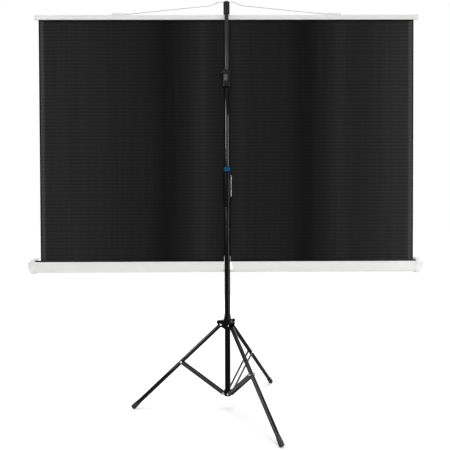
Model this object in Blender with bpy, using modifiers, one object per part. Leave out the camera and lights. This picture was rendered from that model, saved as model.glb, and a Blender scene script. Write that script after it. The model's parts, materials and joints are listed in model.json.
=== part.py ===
"""Projection screen on a folding tripod, seen with its black backing to the front.

A mast of three telescoping tubes stands on a tripod whose legs fold up as their collar slides. A roller
case is pinned to the mast, and the sheet goes from its roller up to a bar that a wire bail hangs on the
mast's hook. Lengths are in metres, +Z is up, and the viewing side of the sheet faces +Y.
"""
import math

import bmesh
import bpy
from mathutils import Matrix, Vector

# Clearances and working lengths
SEAT_GAP = 0.0003
RUNNING_GAP = 0.0003
SLIDING_GAP = 0.0005
CUT_OVERRUN = 0.003
JOIN_OVERLAP = 0.0006
WELD_DISTANCE = 0.00001

# Facet counts
TUBE_STEPS = 24
PIN_STEPS = 12
CORNER_STEPS = 3
ROUND_END_STEPS = 6
KNOB_LOBES = 8
CAP_RIBS = 12
STEPS_PER_LOBE = 4
SHEET_COLUMNS = 44

# Where the mast stands: its offset from the middle of the case, and the tripod's turn about it
MAST_OFFSET = 0.008
TRIPOD_TURN = math.radians(-2.3)
LEG_AZIMUTHS = [math.radians(degrees) + TRIPOD_TURN for degrees in (180, -60, 60)]

# Mast tubes, from the floor up
LOWER_RADIUS = 0.014
LOWER_WALL = 0.0012
LOWER_LENGTH = 1.045
MIDDLE_RADIUS = 0.012
MIDDLE_WALL = 0.0012
MIDDLE_LENGTH = 0.600
MIDDLE_OVERLAP = 0.100
UPPER_RADIUS = 0.0095
UPPER_WALL = 0.0010
UPPER_LENGTH = 0.505
UPPER_OVERLAP = 0.120
SLEEVE_FLANGE = 0.012
SLEEVE_SPIGOT = 0.016
SLEEVE_WALL = 0.0016

# Hub at the mast's foot, with a lug for each brace
HUB_HEIGHT_ABOVE_FLOOR = 0.0706
HUB_HEIGHT = 0.0294
HUB_WALL = 0.0032
HUB_FLOOR = 0.0041
HUB_EDGE = 0.002
BRACE_PIVOT_RADIUS = 0.0235
BRACE_PIVOT_RISE = 0.0144
LUG_END_RADIUS = 0.0062
LUG_HALF_WIDTH = 0.0110

# Pins of the legs and braces
BRACE_PIN_RADIUS = 0.0030
LEG_PIN_RADIUS = 0.0030
PIN_HEAD_RADIUS = 0.0050
PIN_HEAD_HEIGHT = 0.0015

# Legs and feet
LEG_RADIUS = 0.010
LEG_WALL = 0.0012
LEG_LENGTH = 0.612
LEG_HEAD = 0.009
LEG_PIVOT_RADIUS = 0.033
LEG_PIVOT_HEIGHT = 0.427
FOOT_RADIUS = 0.0125
FOOT_EDGE = 0.004
FOOT_FLAT = 0.0015
FOOT_HEIGHT = 0.038
FOOT_SOLE = 0.006
FOOT_NECK_WALL = 0.0014
FOOT_NECK_HEIGHT = 0.014

# Braces: two flat strips to each leg
BRACE_FROM_LEG_PIVOT = 0.2736
STRIP_WIDTH = 0.0145
STRIP_THICKNESS = 0.0020
STRIP_SIDE_GAP = 0.0020
BUSH_RADIUS = 0.0040
RIVET_RADIUS = 0.0050
RIVET_HEIGHT = 0.0018

# Leg collar and its clamp knob
COLLAR_BELOW_PIVOT = 0.022
COLLAR_HEIGHT = 0.072
COLLAR_WALL = 0.0048
COLLAR_NECK_WALL = 0.0022
COLLAR_NECK_HEIGHT = 0.027
COLLAR_EDGE = 0.0020
CHEEK_RADIUS = 0.0100
CHEEK_THICKNESS = 0.0030
HOOD_REACH = 0.0210
HOOD_END_RADIUS = 0.0068
HOOD_ROOT_RISE = 0.0040
HOOD_THICKNESS = 0.0050
HOOD_GAP = 0.0012
BOSS_RADIUS = 0.0045
BOSS_LENGTH = 0.0120
KNOB_ABOVE_PIVOT = 0.0225
KNOB_RADIUS = 0.0075
KNOB_LOBE_DEPTH = 0.0005
KNOB_LENGTH = 0.0105
KNOB_EDGE = 0.0012
STUD_RADIUS = 0.0030
STUD_INTO_KNOB = 0.006

# Grip with its lever, and the blue bushing above it
GRIP_OVERLAP = 0.109
GRIP_NECK_LENGTH = 0.032
GRIP_NECK_RADIUS = 0.0155
GRIP_LENGTH = 0.142
GRIP_RADIUS = 0.018
GRIP_EDGE = 0.002
LEVER_PIVOT_OFFSET = 0.0200
LEVER_PIVOT_RISE = 0.0145
LEVER_PIN_RADIUS = 0.0020
LEVER_LENGTH = 0.114
LEVER_THICKNESS = 0.0110
LEVER_BACK = 0.0166
LEVER_FRONT = 0.0222
LEVER_TIP_FRONT = 0.0198
LEVER_TIP_HEIGHT = 0.010
SLOT_SIDE_GAP = 0.0007
SLOT_END_GAP = 0.003
EAR_THICKNESS = 0.003
EAR_RADIUS = 0.0050
SHOE_RISE = 0.080
SHOE_HEIGHT = 0.019
SHOE_HALF_WIDTH = 0.0040
SHOE_WINDOW_GAP = 0.0020
BUSHING_HEIGHT = 0.0227
BUSHING_RADIUS = 0.017
BUSHING_EDGE = 0.002

# Upper lock with its push button
LOCK_SEAT = 0.016
LOCK_HEIGHT = 0.082
LOCK_LEFT = 0.0170
LOCK_RIGHT = 0.0150
LOCK_FRONT = 0.0200
LOCK_BACK = 0.0155
LOCK_EDGE = 0.003
FLANGE_LEFT = 0.0260
FLANGE_RIGHT = 0.0170
FLANGE_HALF_DEPTH = 0.012
FLANGE_HEIGHT = 0.009
FLANGE_BELOW_TOP = 0.0165
LIP_REACH = 0.0015
LIP_HEIGHT = 0.009
LIP_RISE = 0.005
BUTTON_WIDTH = 0.016
BUTTON_HEIGHT = 0.030
BUTTON_OFFSET = -0.0055
BUTTON_RISE = 0.0417
BUTTON_PROUD = 0.0035
BUTTON_DEPTH = 0.0083
BUTTON_EDGE = 0.003
BUTTON_FACE_EDGE = 0.001
POCKET_DEPTH = 0.0082

# Cap with the hook on the mast's top
CAP_SEAT = 0.044
CAP_HEIGHT = 0.061
CAP_RADIUS = 0.0152
CAP_RIB_DEPTH = 0.0005
CAP_EDGE = 0.003
HOOK_WIDTH = 0.010
HOOK_ROOT = 0.010
HOOK_BELOW_CAP_TOP = 0.022
HOOK_DEPTH = 0.010
HOOK_TIP_WALL = 0.0032
HOOK_LIP = 0.0072
NOTCH_PLAY = 0.0012

# Case, its slot lips and its bracket on the mast
CASE_TOP = 0.7383
CASE_HEIGHT = 0.0547
CASE_DEPTH = 0.060
CASE_BEYOND_SHEET = 0.025
CASE_WALL = 0.0015
CASE_LOWER_CORNER = 0.014
CASE_UPPER_CORNER = 0.0025
SHEET_BEHIND_CASE_FACE = 0.0091
LIP_INNER_GAP = 0.0016
LIP_THICKNESS = 0.0024
LIP_FLANGE_REACH = 0.0018
LIP_FLANGE_THICKNESS = 0.0012
LIP_ABOVE_CASE = 0.0072
LIP_END_GAP = 0.006
BRACKET_PLATE = 0.0024
BRACKET_HALF_WIDTH = 0.0155
BRACKET_WING = 0.0100
BRACKET_ABOVE_CASE = 0.0287
BRACKET_BELOW_PIVOT = 0.016
CASE_PLATE_THICKNESS = 0.0016
CASE_PLATE_HALF_WIDTH = 0.024
CASE_PLATE_HALF_HEIGHT = 0.015
CASE_PLATE_EDGE = 0.004
PIVOT_BOLT_RADIUS = 0.0040
PIVOT_HEAD_RADIUS = 0.0080
PIVOT_HEAD_HEIGHT = 0.0022

# End caps of the case
END_CAP_REACH = 0.029
END_CAP_SLEEVE = 0.006
END_CAP_WALL = 0.0020
END_CAP_DROP = 0.0046
END_CAP_EDGE = 0.0016
END_CAP_BULGE_HEIGHT = 0.037
END_CAP_CROWN = 0.0064
END_CAP_TOP_REACH = 0.024
END_CAP_BOTTOM_REACH = 0.013
END_CAP_PARTING_BELOW_TOP = 0.004
EAR_ABOVE_CASE = 0.0167
EAR_OUTER_REACH = 0.014
BEARING_HOLE_DEPTH = 0.012

# Roller with the sheet wound on it
ROLLER_RADIUS = 0.011
ROLLER_WALL = 0.0012
ROLLER_END_SPACE = 0.008
PLUG_FLANGE = 0.002
PLUG_SPIGOT = 0.020
ARBOR_RADIUS = 0.004
ARBOR_LENGTH = 0.270
IDLE_PIN_LENGTH = 0.040
WOUND_THICKNESS = 0.0029
SPRING_WIRE_RADIUS = 0.0009
SPRING_RADIUS = 0.0070
SPRING_TURNS = 12
SPRING_STEPS_PER_TURN = 8
SPRING_PITCH = 0.015

# Sheet with its slack vertical waves
SHEET_HALF_WIDTH = 0.935
SHEET_THICKNESS = 0.0012
BEAD_THICKNESS = 0.0050
BEAD_HEIGHT = 0.0080
WAVE_DEPTHS = (0.0011, 0.0007)
WAVE_LENGTHS = (0.335, 0.212)
WAVE_START = 0.090
SHEET_ROW_SHARES = (0.0, 0.035, 0.25, 0.50, 0.75, 0.965)

# Top bar, its caps, and the bail with its clips
BAR_BEYOND_SHEET = 0.021
BAR_CAP_LENGTH = 0.012
BAR_CAP_PROUD = 0.0010
BAR_CAP_EDGE = 0.002
BAR_PLUG_LENGTH = 0.007
BAR_HEIGHT = 0.023
BAR_DEPTH = 0.018
BAR_WALL = 0.0014
BAR_CORNER = 0.004
BAR_SLOT_GAP = 0.0011
CLIP_INNER_END = 0.504
CLIP_LENGTH = 0.066
CLIP_HALF_DEPTH = 0.0065
CLIP_CORNER = 0.0032
CLIP_HEIGHT = 0.0105
CLIP_END_WALL = 0.008
WIRE_RADIUS = 0.0016
WIRE_ABOVE_BAR = 0.0055
WIRE_RISE = 0.060
WIRE_FLAT_HALF = 0.038
WIRE_SHOULDER = 0.072
WIRE_SHOULDER_DROP = 0.0175
WIRE_FOOT = 0.490
WIRE_END = 0.555
WIRE_ABOVE_CAP = 0.0105
WIRE_BEND = 0.008


# Heights and places that follow from the sizes above
HUB_BOTTOM = HUB_HEIGHT_ABOVE_FLOOR
HUB_TOP = HUB_BOTTOM + HUB_HEIGHT
LOWER_BOTTOM = HUB_BOTTOM + HUB_FLOOR + SEAT_GAP
LOWER_TOP = LOWER_BOTTOM + LOWER_LENGTH
MIDDLE_BOTTOM = LOWER_TOP - MIDDLE_OVERLAP
MIDDLE_TOP = MIDDLE_BOTTOM + MIDDLE_LENGTH
UPPER_BOTTOM = MIDDLE_TOP - UPPER_OVERLAP
UPPER_TOP = UPPER_BOTTOM + UPPER_LENGTH
LOWER_BORE = LOWER_RADIUS - LOWER_WALL
MIDDLE_BORE = MIDDLE_RADIUS - MIDDLE_WALL
UPPER_BORE = UPPER_RADIUS - UPPER_WALL

BRACE_PIVOT_HEIGHT = HUB_BOTTOM + BRACE_PIVOT_RISE
COLLAR_BOTTOM = LEG_PIVOT_HEIGHT - COLLAR_BELOW_PIVOT
COLLAR_TOP = COLLAR_BOTTOM + COLLAR_HEIGHT
COLLAR_BORE = LOWER_RADIUS + RUNNING_GAP
COLLAR_RADIUS = COLLAR_BORE + COLLAR_WALL
KNOB_HEIGHT = LEG_PIVOT_HEIGHT + KNOB_ABOVE_PIVOT
KNOB_AZIMUTH = LEG_AZIMUTHS[0] - math.pi
STRIP_INNER = LEG_RADIUS + STRIP_SIDE_GAP
STRIP_MIDDLE = STRIP_INNER + STRIP_THICKNESS / 2
STRIP_OUTER = STRIP_INNER + STRIP_THICKNESS
CHEEK_INNER = LEG_RADIUS + SLIDING_GAP
CHEEK_OUTER = CHEEK_INNER + CHEEK_THICKNESS
# The hood over each leg clears the corners of the leg's head
HOOD_BOTTOM = LEG_PIVOT_HEIGHT + math.hypot(LEG_HEAD, LEG_RADIUS) + HOOD_GAP
HOOD_TOP = HOOD_BOTTOM + HOOD_THICKNESS
HOOD_END = LEG_PIVOT_RADIUS + HOOD_REACH - HOOD_END_RADIUS


def leg_tilt():
    """Angle between a leg and the vertical that brings the foot's flattened edge to the floor."""
    along = LEG_LENGTH - FOOT_EDGE
    across = FOOT_RADIUS - FOOT_EDGE
    drop = LEG_PIVOT_HEIGHT + FOOT_FLAT - FOOT_EDGE
    return math.atan2(across, along) + math.acos(drop / math.hypot(along, across))


LEG_TILT = leg_tilt()
BRACE_TOP_RADIUS = LEG_PIVOT_RADIUS + BRACE_FROM_LEG_PIVOT * math.sin(LEG_TILT)
BRACE_TOP_HEIGHT = LEG_PIVOT_HEIGHT - BRACE_FROM_LEG_PIVOT * math.cos(LEG_TILT)
BRACE_OUT = BRACE_TOP_RADIUS - BRACE_PIVOT_RADIUS
BRACE_UP = BRACE_TOP_HEIGHT - BRACE_PIVOT_HEIGHT
BRACE_LENGTH = math.hypot(BRACE_OUT, BRACE_UP)
BRACE_TILT = math.atan2(BRACE_OUT, BRACE_UP)
FOOT_REACH = LEG_PIVOT_RADIUS + LEG_LENGTH * math.sin(LEG_TILT)
# The origin is under the middle of the feet's outline, so the mast stands a little behind it
MAST_Y = -FOOT_REACH * (math.sin(LEG_AZIMUTHS[1]) + math.sin(LEG_AZIMUTHS[2])) / 2

GRIP_BOTTOM = LOWER_TOP - GRIP_OVERLAP
GRIP_BODY_BOTTOM = GRIP_BOTTOM + GRIP_NECK_LENGTH
GRIP_TOP = GRIP_BODY_BOTTOM + GRIP_LENGTH
BUSHING_TOP = GRIP_TOP + SEAT_GAP + BUSHING_HEIGHT
LEVER_PIVOT_HEIGHT = GRIP_BODY_BOTTOM + LEVER_PIVOT_RISE
LEVER_TOP = LEVER_PIVOT_HEIGHT + LEVER_LENGTH
LEVER_END_RADIUS = LEVER_PIVOT_OFFSET - LEVER_BACK
SLOT_FLOOR = LEVER_BACK - SEAT_GAP
LOCK_BOTTOM = MIDDLE_TOP - LOCK_SEAT
LOCK_TOP = LOCK_BOTTOM + LOCK_HEIGHT
BUTTON_HEIGHT_MIDDLE = LOCK_BOTTOM + BUTTON_RISE
CAP_BOTTOM = UPPER_TOP - CAP_SEAT
CAP_TOP = CAP_BOTTOM + CAP_HEIGHT

CASE_NEAR = LOWER_RADIUS + BRACKET_PLATE + CASE_PLATE_THICKNESS + 3 * SEAT_GAP
CASE_FAR = CASE_NEAR + CASE_DEPTH
CASE_MIDDLE_Y = (CASE_NEAR + CASE_FAR) / 2
CASE_BOTTOM = CASE_TOP - CASE_HEIGHT
CASE_MIDDLE_Z = (CASE_TOP + CASE_BOTTOM) / 2
SHEET_Y = CASE_NEAR + SHEET_BEHIND_CASE_FACE
SLOT_HALF = LIP_INNER_GAP + LIP_THICKNESS + SEAT_GAP
CASE_HALF_LENGTH = SHEET_HALF_WIDTH + CASE_BEYOND_SHEET
LIP_HALF_LENGTH = CASE_HALF_LENGTH - END_CAP_SLEEVE - SEAT_GAP
WOUND_RADIUS = ROLLER_RADIUS + SEAT_GAP + WOUND_THICKNESS
ROLLER_Y = SHEET_Y + SHEET_THICKNESS / 2 + SEAT_GAP + WOUND_RADIUS
ROLLER_Z = CASE_MIDDLE_Z
ROLLER_HALF_LENGTH = CASE_HALF_LENGTH - ROLLER_END_SPACE
ROLLER_BORE = ROLLER_RADIUS - ROLLER_WALL
BEARING_HALF_SPAN = CASE_HALF_LENGTH + BEARING_HOLE_DEPTH

WIRE_TOP_Z = CAP_TOP + WIRE_ABOVE_CAP
WIRE_AXIS_Z = WIRE_TOP_Z - WIRE_RISE
BAR_TOP = WIRE_AXIS_Z - WIRE_ABOVE_BAR
BAR_BOTTOM = BAR_TOP - BAR_HEIGHT
BAR_MIDDLE_Z = (BAR_TOP + BAR_BOTTOM) / 2
BEAD_BOTTOM = BAR_BOTTOM + BAR_WALL + SEAT_GAP
BAR_HALF_LENGTH = SHEET_HALF_WIDTH + BAR_BEYOND_SHEET

# Frames: the mast's own, and the turns that lay a flat outline or a lathe axis along another axis
MAST = Matrix.Translation((MAST_OFFSET, MAST_Y, 0))
CASE_FRAME = Matrix.Translation((0, MAST_Y, 0))
TURN_TO_Y = Matrix.Rotation(math.pi / 2, 4, "X")
TURN_TO_X = Matrix.Rotation(math.pi / 2, 4, "Y")
SECTION_ALONG_X = Matrix(((0, 0, 1, 0), (1, 0, 0, 0), (0, 1, 0, 0), (0, 0, 0, 1)))


def clear_scene():
    for old in list(bpy.data.objects):
        bpy.data.objects.remove(old, do_unlink=True)


def new_collection(name):
    made = bpy.data.collections.new(name)
    bpy.context.scene.collection.children.link(made)
    return made


clear_scene()
PARTS = new_collection("projection_screen")
CUTTERS = new_collection("cutters")


def material(name, colour, roughness, metallic=0.0):
    """A Principled material with one colour, roughness and metallic value."""
    made = bpy.data.materials.new(name)
    made.use_nodes = True
    shader = made.node_tree.nodes["Principled BSDF"]
    shader.inputs["Base Color"].default_value = (*colour, 1.0)
    shader.inputs["Roughness"].default_value = roughness
    shader.inputs["Metallic"].default_value = metallic
    return made


GLOSS_BLACK = material("gloss_black_paint", (0.012, 0.012, 0.013), 0.22)
BROWN_BLACK = material("brown_black_paint", (0.026, 0.020, 0.018), 0.32)
BLACK_PLASTIC = material("black_plastic", (0.016, 0.016, 0.017), 0.45)
GREY_PLASTIC = material("grey_plastic", (0.10, 0.10, 0.105), 0.40)
WHITE_PAINT = material("white_paint", (0.84, 0.84, 0.83), 0.35)
WHITE_PLASTIC = material("white_plastic", (0.80, 0.80, 0.79), 0.45)
BLUE_PLASTIC = material("blue_plastic", (0.02, 0.16, 0.50), 0.35)
GREY_STEEL = material("grey_steel", (0.30, 0.30, 0.30), 0.40, 0.8)
ZINC = material("zinc_plated_steel", (0.55, 0.55, 0.54), 0.35, 1.0)
LEVER_METAL = material("lever_metal", (0.50, 0.50, 0.50), 0.30, 1.0)
RUBBER = material("black_rubber", (0.012, 0.012, 0.012), 0.75)
BACKING_CLOTH = material("black_backing_cloth", (0.014, 0.014, 0.014), 0.80)
PIN_STEEL = material("pin_steel", (0.35, 0.35, 0.35), 0.35, 1.0)
ALUMINIUM = material("aluminium", (0.65, 0.65, 0.65), 0.40, 1.0)


def parent_empty(name, frame):
    """An empty on a joint's axis, which the pieces that move there are parented to."""
    empty = bpy.data.objects.new(name, None)
    PARTS.objects.link(empty)
    empty.matrix_basis = frame
    return empty


def add(name, mesh, finish, frame, parent=None):
    """Make a piece when it has a finish, or a hidden tool shape when it has none."""
    obj = bpy.data.objects.new(name, mesh)
    if finish:
        PARTS.objects.link(obj)
        mesh.materials.append(finish)
    else:
        CUTTERS.objects.link(obj)
        obj.hide_render = True
        obj.display_type = "WIRE"
    if parent:
        obj.parent = parent
        obj.matrix_parent_inverse = parent.matrix_basis.inverted()
    obj.matrix_basis = frame
    return obj


def turned(name, profile, finish, frame, ring=False, steps=TUBE_STEPS, parent=None):
    """Lathe (radius, height) points about the frame's Z axis; a ring's profile closes on itself."""
    edges = [(i, i + 1) for i in range(len(profile) - 1)]
    if ring:
        edges.append((len(profile) - 1, 0))
    mesh = bpy.data.meshes.new(name)
    mesh.from_pydata([(radius, 0, height) for radius, height in profile], edges, [])
    obj = add(name, mesh, finish, frame, parent)
    screw = obj.modifiers.new("lathe", "SCREW")
    screw.steps = screw.render_steps = steps
    screw.use_merge_vertices = True
    screw.merge_threshold = WELD_DISTANCE
    screw.use_smooth_shade = True
    return obj


def tube(name, outer, inner, low, high, finish, frame, steps=TUBE_STEPS, parent=None):
    profile = [(outer, high), (outer, low), (inner, low), (inner, high)]
    return turned(name, profile, finish, frame, ring=True, steps=steps, parent=parent)


def rod(name, radius, low, high, finish, frame, steps=TUBE_STEPS, parent=None):
    profile = [(0, high), (radius, high), (radius, low), (0, low)]
    return turned(name, profile, finish, frame, steps=steps, parent=parent)


def box(name, low, high, finish, frame, parent=None):
    """A box between two corners in its frame."""
    low = Vector(low)
    high = Vector(high)
    shape = Matrix.Translation((low + high) / 2) @ Matrix.Diagonal((*(high - low), 1))
    solid = bmesh.new()
    bmesh.ops.create_cube(solid, size=1, matrix=shape)
    mesh = bpy.data.meshes.new(name)
    solid.to_mesh(mesh)
    solid.free()
    return add(name, mesh, finish, frame, parent)


def welded_mesh(curve, name):
    """The curve's own solid as a mesh, with its caps welded on."""
    guide = bpy.data.objects.new(name + "_guide", curve)
    CUTTERS.objects.link(guide)
    depsgraph = bpy.context.evaluated_depsgraph_get()
    mesh = bpy.data.meshes.new_from_object(guide.evaluated_get(depsgraph))
    bpy.data.objects.remove(guide)
    solid = bmesh.new()
    solid.from_mesh(mesh)
    bmesh.ops.remove_doubles(solid, verts=solid.verts, dist=WELD_DISTANCE)
    bmesh.ops.recalc_face_normals(solid, faces=solid.faces)
    solid.to_mesh(mesh)
    solid.free()
    mesh.materials.clear()
    mesh.name = name
    return mesh


def spline(curve, points, closed):
    line = curve.splines.new("POLY")
    line.points.add(len(points) - 1)
    for target, point in zip(line.points, points):
        target.co = (*point, *([0] * (3 - len(point))), 1)
    line.use_cyclic_u = closed


def extruded(name, outline, low, high, finish, frame, parent=None):
    """A flat outline filled and drawn out along the frame's Z axis from low to high."""
    curve = bpy.data.curves.new(name, "CURVE")
    curve.dimensions = "2D"
    curve.fill_mode = "BOTH"
    curve.extrude = (high - low) / 2
    spline(curve, outline, closed=True)
    mesh = welded_mesh(curve, name)
    mesh.transform(Matrix.Translation((0, 0, (low + high) / 2)))
    return add(name, mesh, finish, frame, parent)


def channel(name, outline, low, high, wall, finish, frame, parent=None):
    """An open outline drawn out along the frame's Z axis as a sheet, thickened inwards to a wall."""
    curve = bpy.data.curves.new(name, "CURVE")
    curve.dimensions = "2D"
    curve.fill_mode = "NONE"
    curve.extrude = (high - low) / 2
    spline(curve, outline, closed=False)
    mesh = welded_mesh(curve, name)
    mesh.transform(Matrix.Translation((0, 0, (low + high) / 2)))
    obj = add(name, mesh, finish, frame, parent)
    solidify = obj.modifiers.new("wall", "SOLIDIFY")
    solidify.thickness = wall
    solidify.offset = -1
    solidify.use_even_offset = True
    return obj


def wire_mesh(name, points, radius, resolution):
    curve = bpy.data.curves.new(name, "CURVE")
    curve.dimensions = "3D"
    curve.bevel_depth = radius
    curve.bevel_resolution = resolution
    curve.use_fill_caps = True
    spline(curve, points, closed=False)
    return welded_mesh(curve, name)


def combine(target, operation, tools):
    for tool in tools:
        boolean = target.modifiers.new(operation.lower(), "BOOLEAN")
        boolean.operation = operation
        boolean.solver = "EXACT"
        boolean.object = tool


def cut(target, *tools):
    combine(target, "DIFFERENCE", tools)


def join(target, *tools):
    combine(target, "UNION", tools)


def soften(obj, width, segments=2):
    bevel = obj.modifiers.new("edges", "BEVEL")
    bevel.width = width
    bevel.segments = segments
    bevel.limit_method = "ANGLE"


def arc(centre, radius, start, end, steps=CORNER_STEPS):
    """Points of an arc about (x, y), from one angle in degrees to another."""
    turns = [math.radians(start + (end - start) * i / steps) for i in range(steps + 1)]
    return [(centre[0] + radius * math.cos(turn), centre[1] + radius * math.sin(turn)) for turn in turns]


def rounded_rectangle(left, right, low, high, low_radius, high_radius):
    """A rectangle's outline, counterclockwise from its lower left, with rounded corners."""
    return (arc((left + low_radius, low + low_radius), low_radius, 180, 270)
            + arc((right - low_radius, low + low_radius), low_radius, 270, 360)
            + arc((right - high_radius, high - high_radius), high_radius, 0, 90)
            + arc((left + high_radius, high - high_radius), high_radius, 90, 180))


def rounded_path(points, radius):
    """A path through its corner points, each corner an arc-like bend of the given reach."""
    path = [Vector(points[0])]
    for before, corner, after in zip(points, points[1:], points[2:]):
        corner = Vector(corner)
        start = corner + (Vector(before) - corner).normalized() * radius
        end = corner + (Vector(after) - corner).normalized() * radius
        for i in range(CORNER_STEPS + 1):
            share = i / CORNER_STEPS
            path.append(start.lerp(corner, share).lerp(corner.lerp(end, share), share))
    path.append(Vector(points[-1]))
    return path


def lobed_outline(radius, depth, lobes):
    steps = lobes * STEPS_PER_LOBE
    turns = [2 * math.pi * i / steps for i in range(steps)]
    reach = [radius + depth * math.cos(lobes * turn) for turn in turns]
    return [(r * math.cos(turn), r * math.sin(turn)) for r, turn in zip(reach, turns)]


def headed_pin(name, radius, half_length, finish, frame, parent=None):
    """A pin along the frame's Z axis with a head on each end, outside half_length."""
    end = half_length + PIN_HEAD_HEIGHT
    profile = [(0, end), (PIN_HEAD_RADIUS, end), (PIN_HEAD_RADIUS, half_length), (radius, half_length),
               (radius, -half_length), (PIN_HEAD_RADIUS, -half_length), (PIN_HEAD_RADIUS, -end),
               (0, -end)]
    return turned(name, profile, finish, frame, steps=PIN_STEPS, parent=parent)


def radial_frame(azimuth, radius=0, height=0):
    """A frame whose X axis points out from the mast at an azimuth."""
    return MAST @ Matrix.Rotation(azimuth, 4, "Z") @ Matrix.Translation((radius, 0, height))


def plug_sleeve(name, tube_bore, outer, tube_bottom, finish, parent):
    """The guide plug in a tube's lower end: a flange that fills the next tube, and a spigot."""
    flange_top = tube_bottom - SEAT_GAP
    flange_bottom = flange_top - SLEEVE_FLANGE
    spigot = tube_bore - SEAT_GAP
    inner = spigot - SLEEVE_WALL
    spigot_top = tube_bottom + SLEEVE_SPIGOT
    profile = [(spigot, spigot_top), (spigot, flange_top), (outer, flange_top), (outer, flange_bottom),
               (inner, flange_bottom), (inner, spigot_top)]
    return turned(name, profile, finish, MAST, ring=True, parent=parent)


def make_mast_tubes():
    tube("lower_tube", LOWER_RADIUS, LOWER_BORE, LOWER_BOTTOM, LOWER_TOP, BROWN_BLACK, MAST)
    middle = parent_empty("middle_slide", MAST @ Matrix.Translation((0, 0, MIDDLE_TOP)))
    tube("middle_tube", MIDDLE_RADIUS, MIDDLE_BORE, MIDDLE_BOTTOM, MIDDLE_TOP, GLOSS_BLACK, MAST,
         parent=middle)
    plug_sleeve("middle_sleeve", MIDDLE_BORE, LOWER_BORE - RUNNING_GAP, MIDDLE_BOTTOM, BLACK_PLASTIC,
                middle)
    upper = parent_empty("upper_slide", MAST @ Matrix.Translation((0, 0, UPPER_TOP)))
    tube("upper_tube", UPPER_RADIUS, UPPER_BORE, UPPER_BOTTOM, UPPER_TOP, GLOSS_BLACK, MAST, parent=upper)
    plug_sleeve("upper_sleeve", UPPER_BORE, MIDDLE_BORE - RUNNING_GAP, UPPER_BOTTOM, BLACK_PLASTIC, upper)
    return middle, upper


def make_lower_hub():
    radius = LOWER_RADIUS + SEAT_GAP + HUB_WALL
    profile = [(0, HUB_TOP), (radius - HUB_EDGE, HUB_TOP), (radius, HUB_TOP - HUB_EDGE),
               (radius, HUB_BOTTOM + HUB_EDGE), (radius - HUB_EDGE, HUB_BOTTOM), (0, HUB_BOTTOM)]
    hub = turned("lower_hub", profile, BLACK_PLASTIC, MAST)
    bore = rod("hub_bore", LOWER_RADIUS + SEAT_GAP, HUB_BOTTOM + HUB_FLOOR, HUB_TOP + CUT_OVERRUN, None,
               MAST)
    for number, azimuth in enumerate(LEG_AZIMUTHS, 1):
        pivot = (BRACE_PIVOT_RADIUS, BRACE_PIVOT_HEIGHT)
        root = LOWER_RADIUS + SEAT_GAP
        outline = [(root, BRACE_PIVOT_HEIGHT - LUG_END_RADIUS),
                   *arc(pivot, LUG_END_RADIUS, -90, 90, ROUND_END_STEPS),
                   (root, BRACE_PIVOT_HEIGHT + LUG_END_RADIUS)]
        frame = radial_frame(azimuth) @ TURN_TO_Y
        lug = extruded(f"hub_lug_{number}", outline, -LUG_HALF_WIDTH, LUG_HALF_WIDTH, None, frame)
        join(hub, lug)
    cut(hub, bore)
    for number, azimuth in enumerate(LEG_AZIMUTHS, 1):
        axis = radial_frame(azimuth, BRACE_PIVOT_RADIUS, BRACE_PIVOT_HEIGHT) @ TURN_TO_Y
        reach = LUG_HALF_WIDTH + CUT_OVERRUN
        hole = rod(f"hub_hole_{number}", BRACE_PIN_RADIUS + SEAT_GAP, -reach, reach, None, axis,
                   PIN_STEPS)
        cut(hub, hole)
        headed_pin(f"brace_pin_{number}", BRACE_PIN_RADIUS, STRIP_OUTER + SEAT_GAP, PIN_STEEL, axis)


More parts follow.
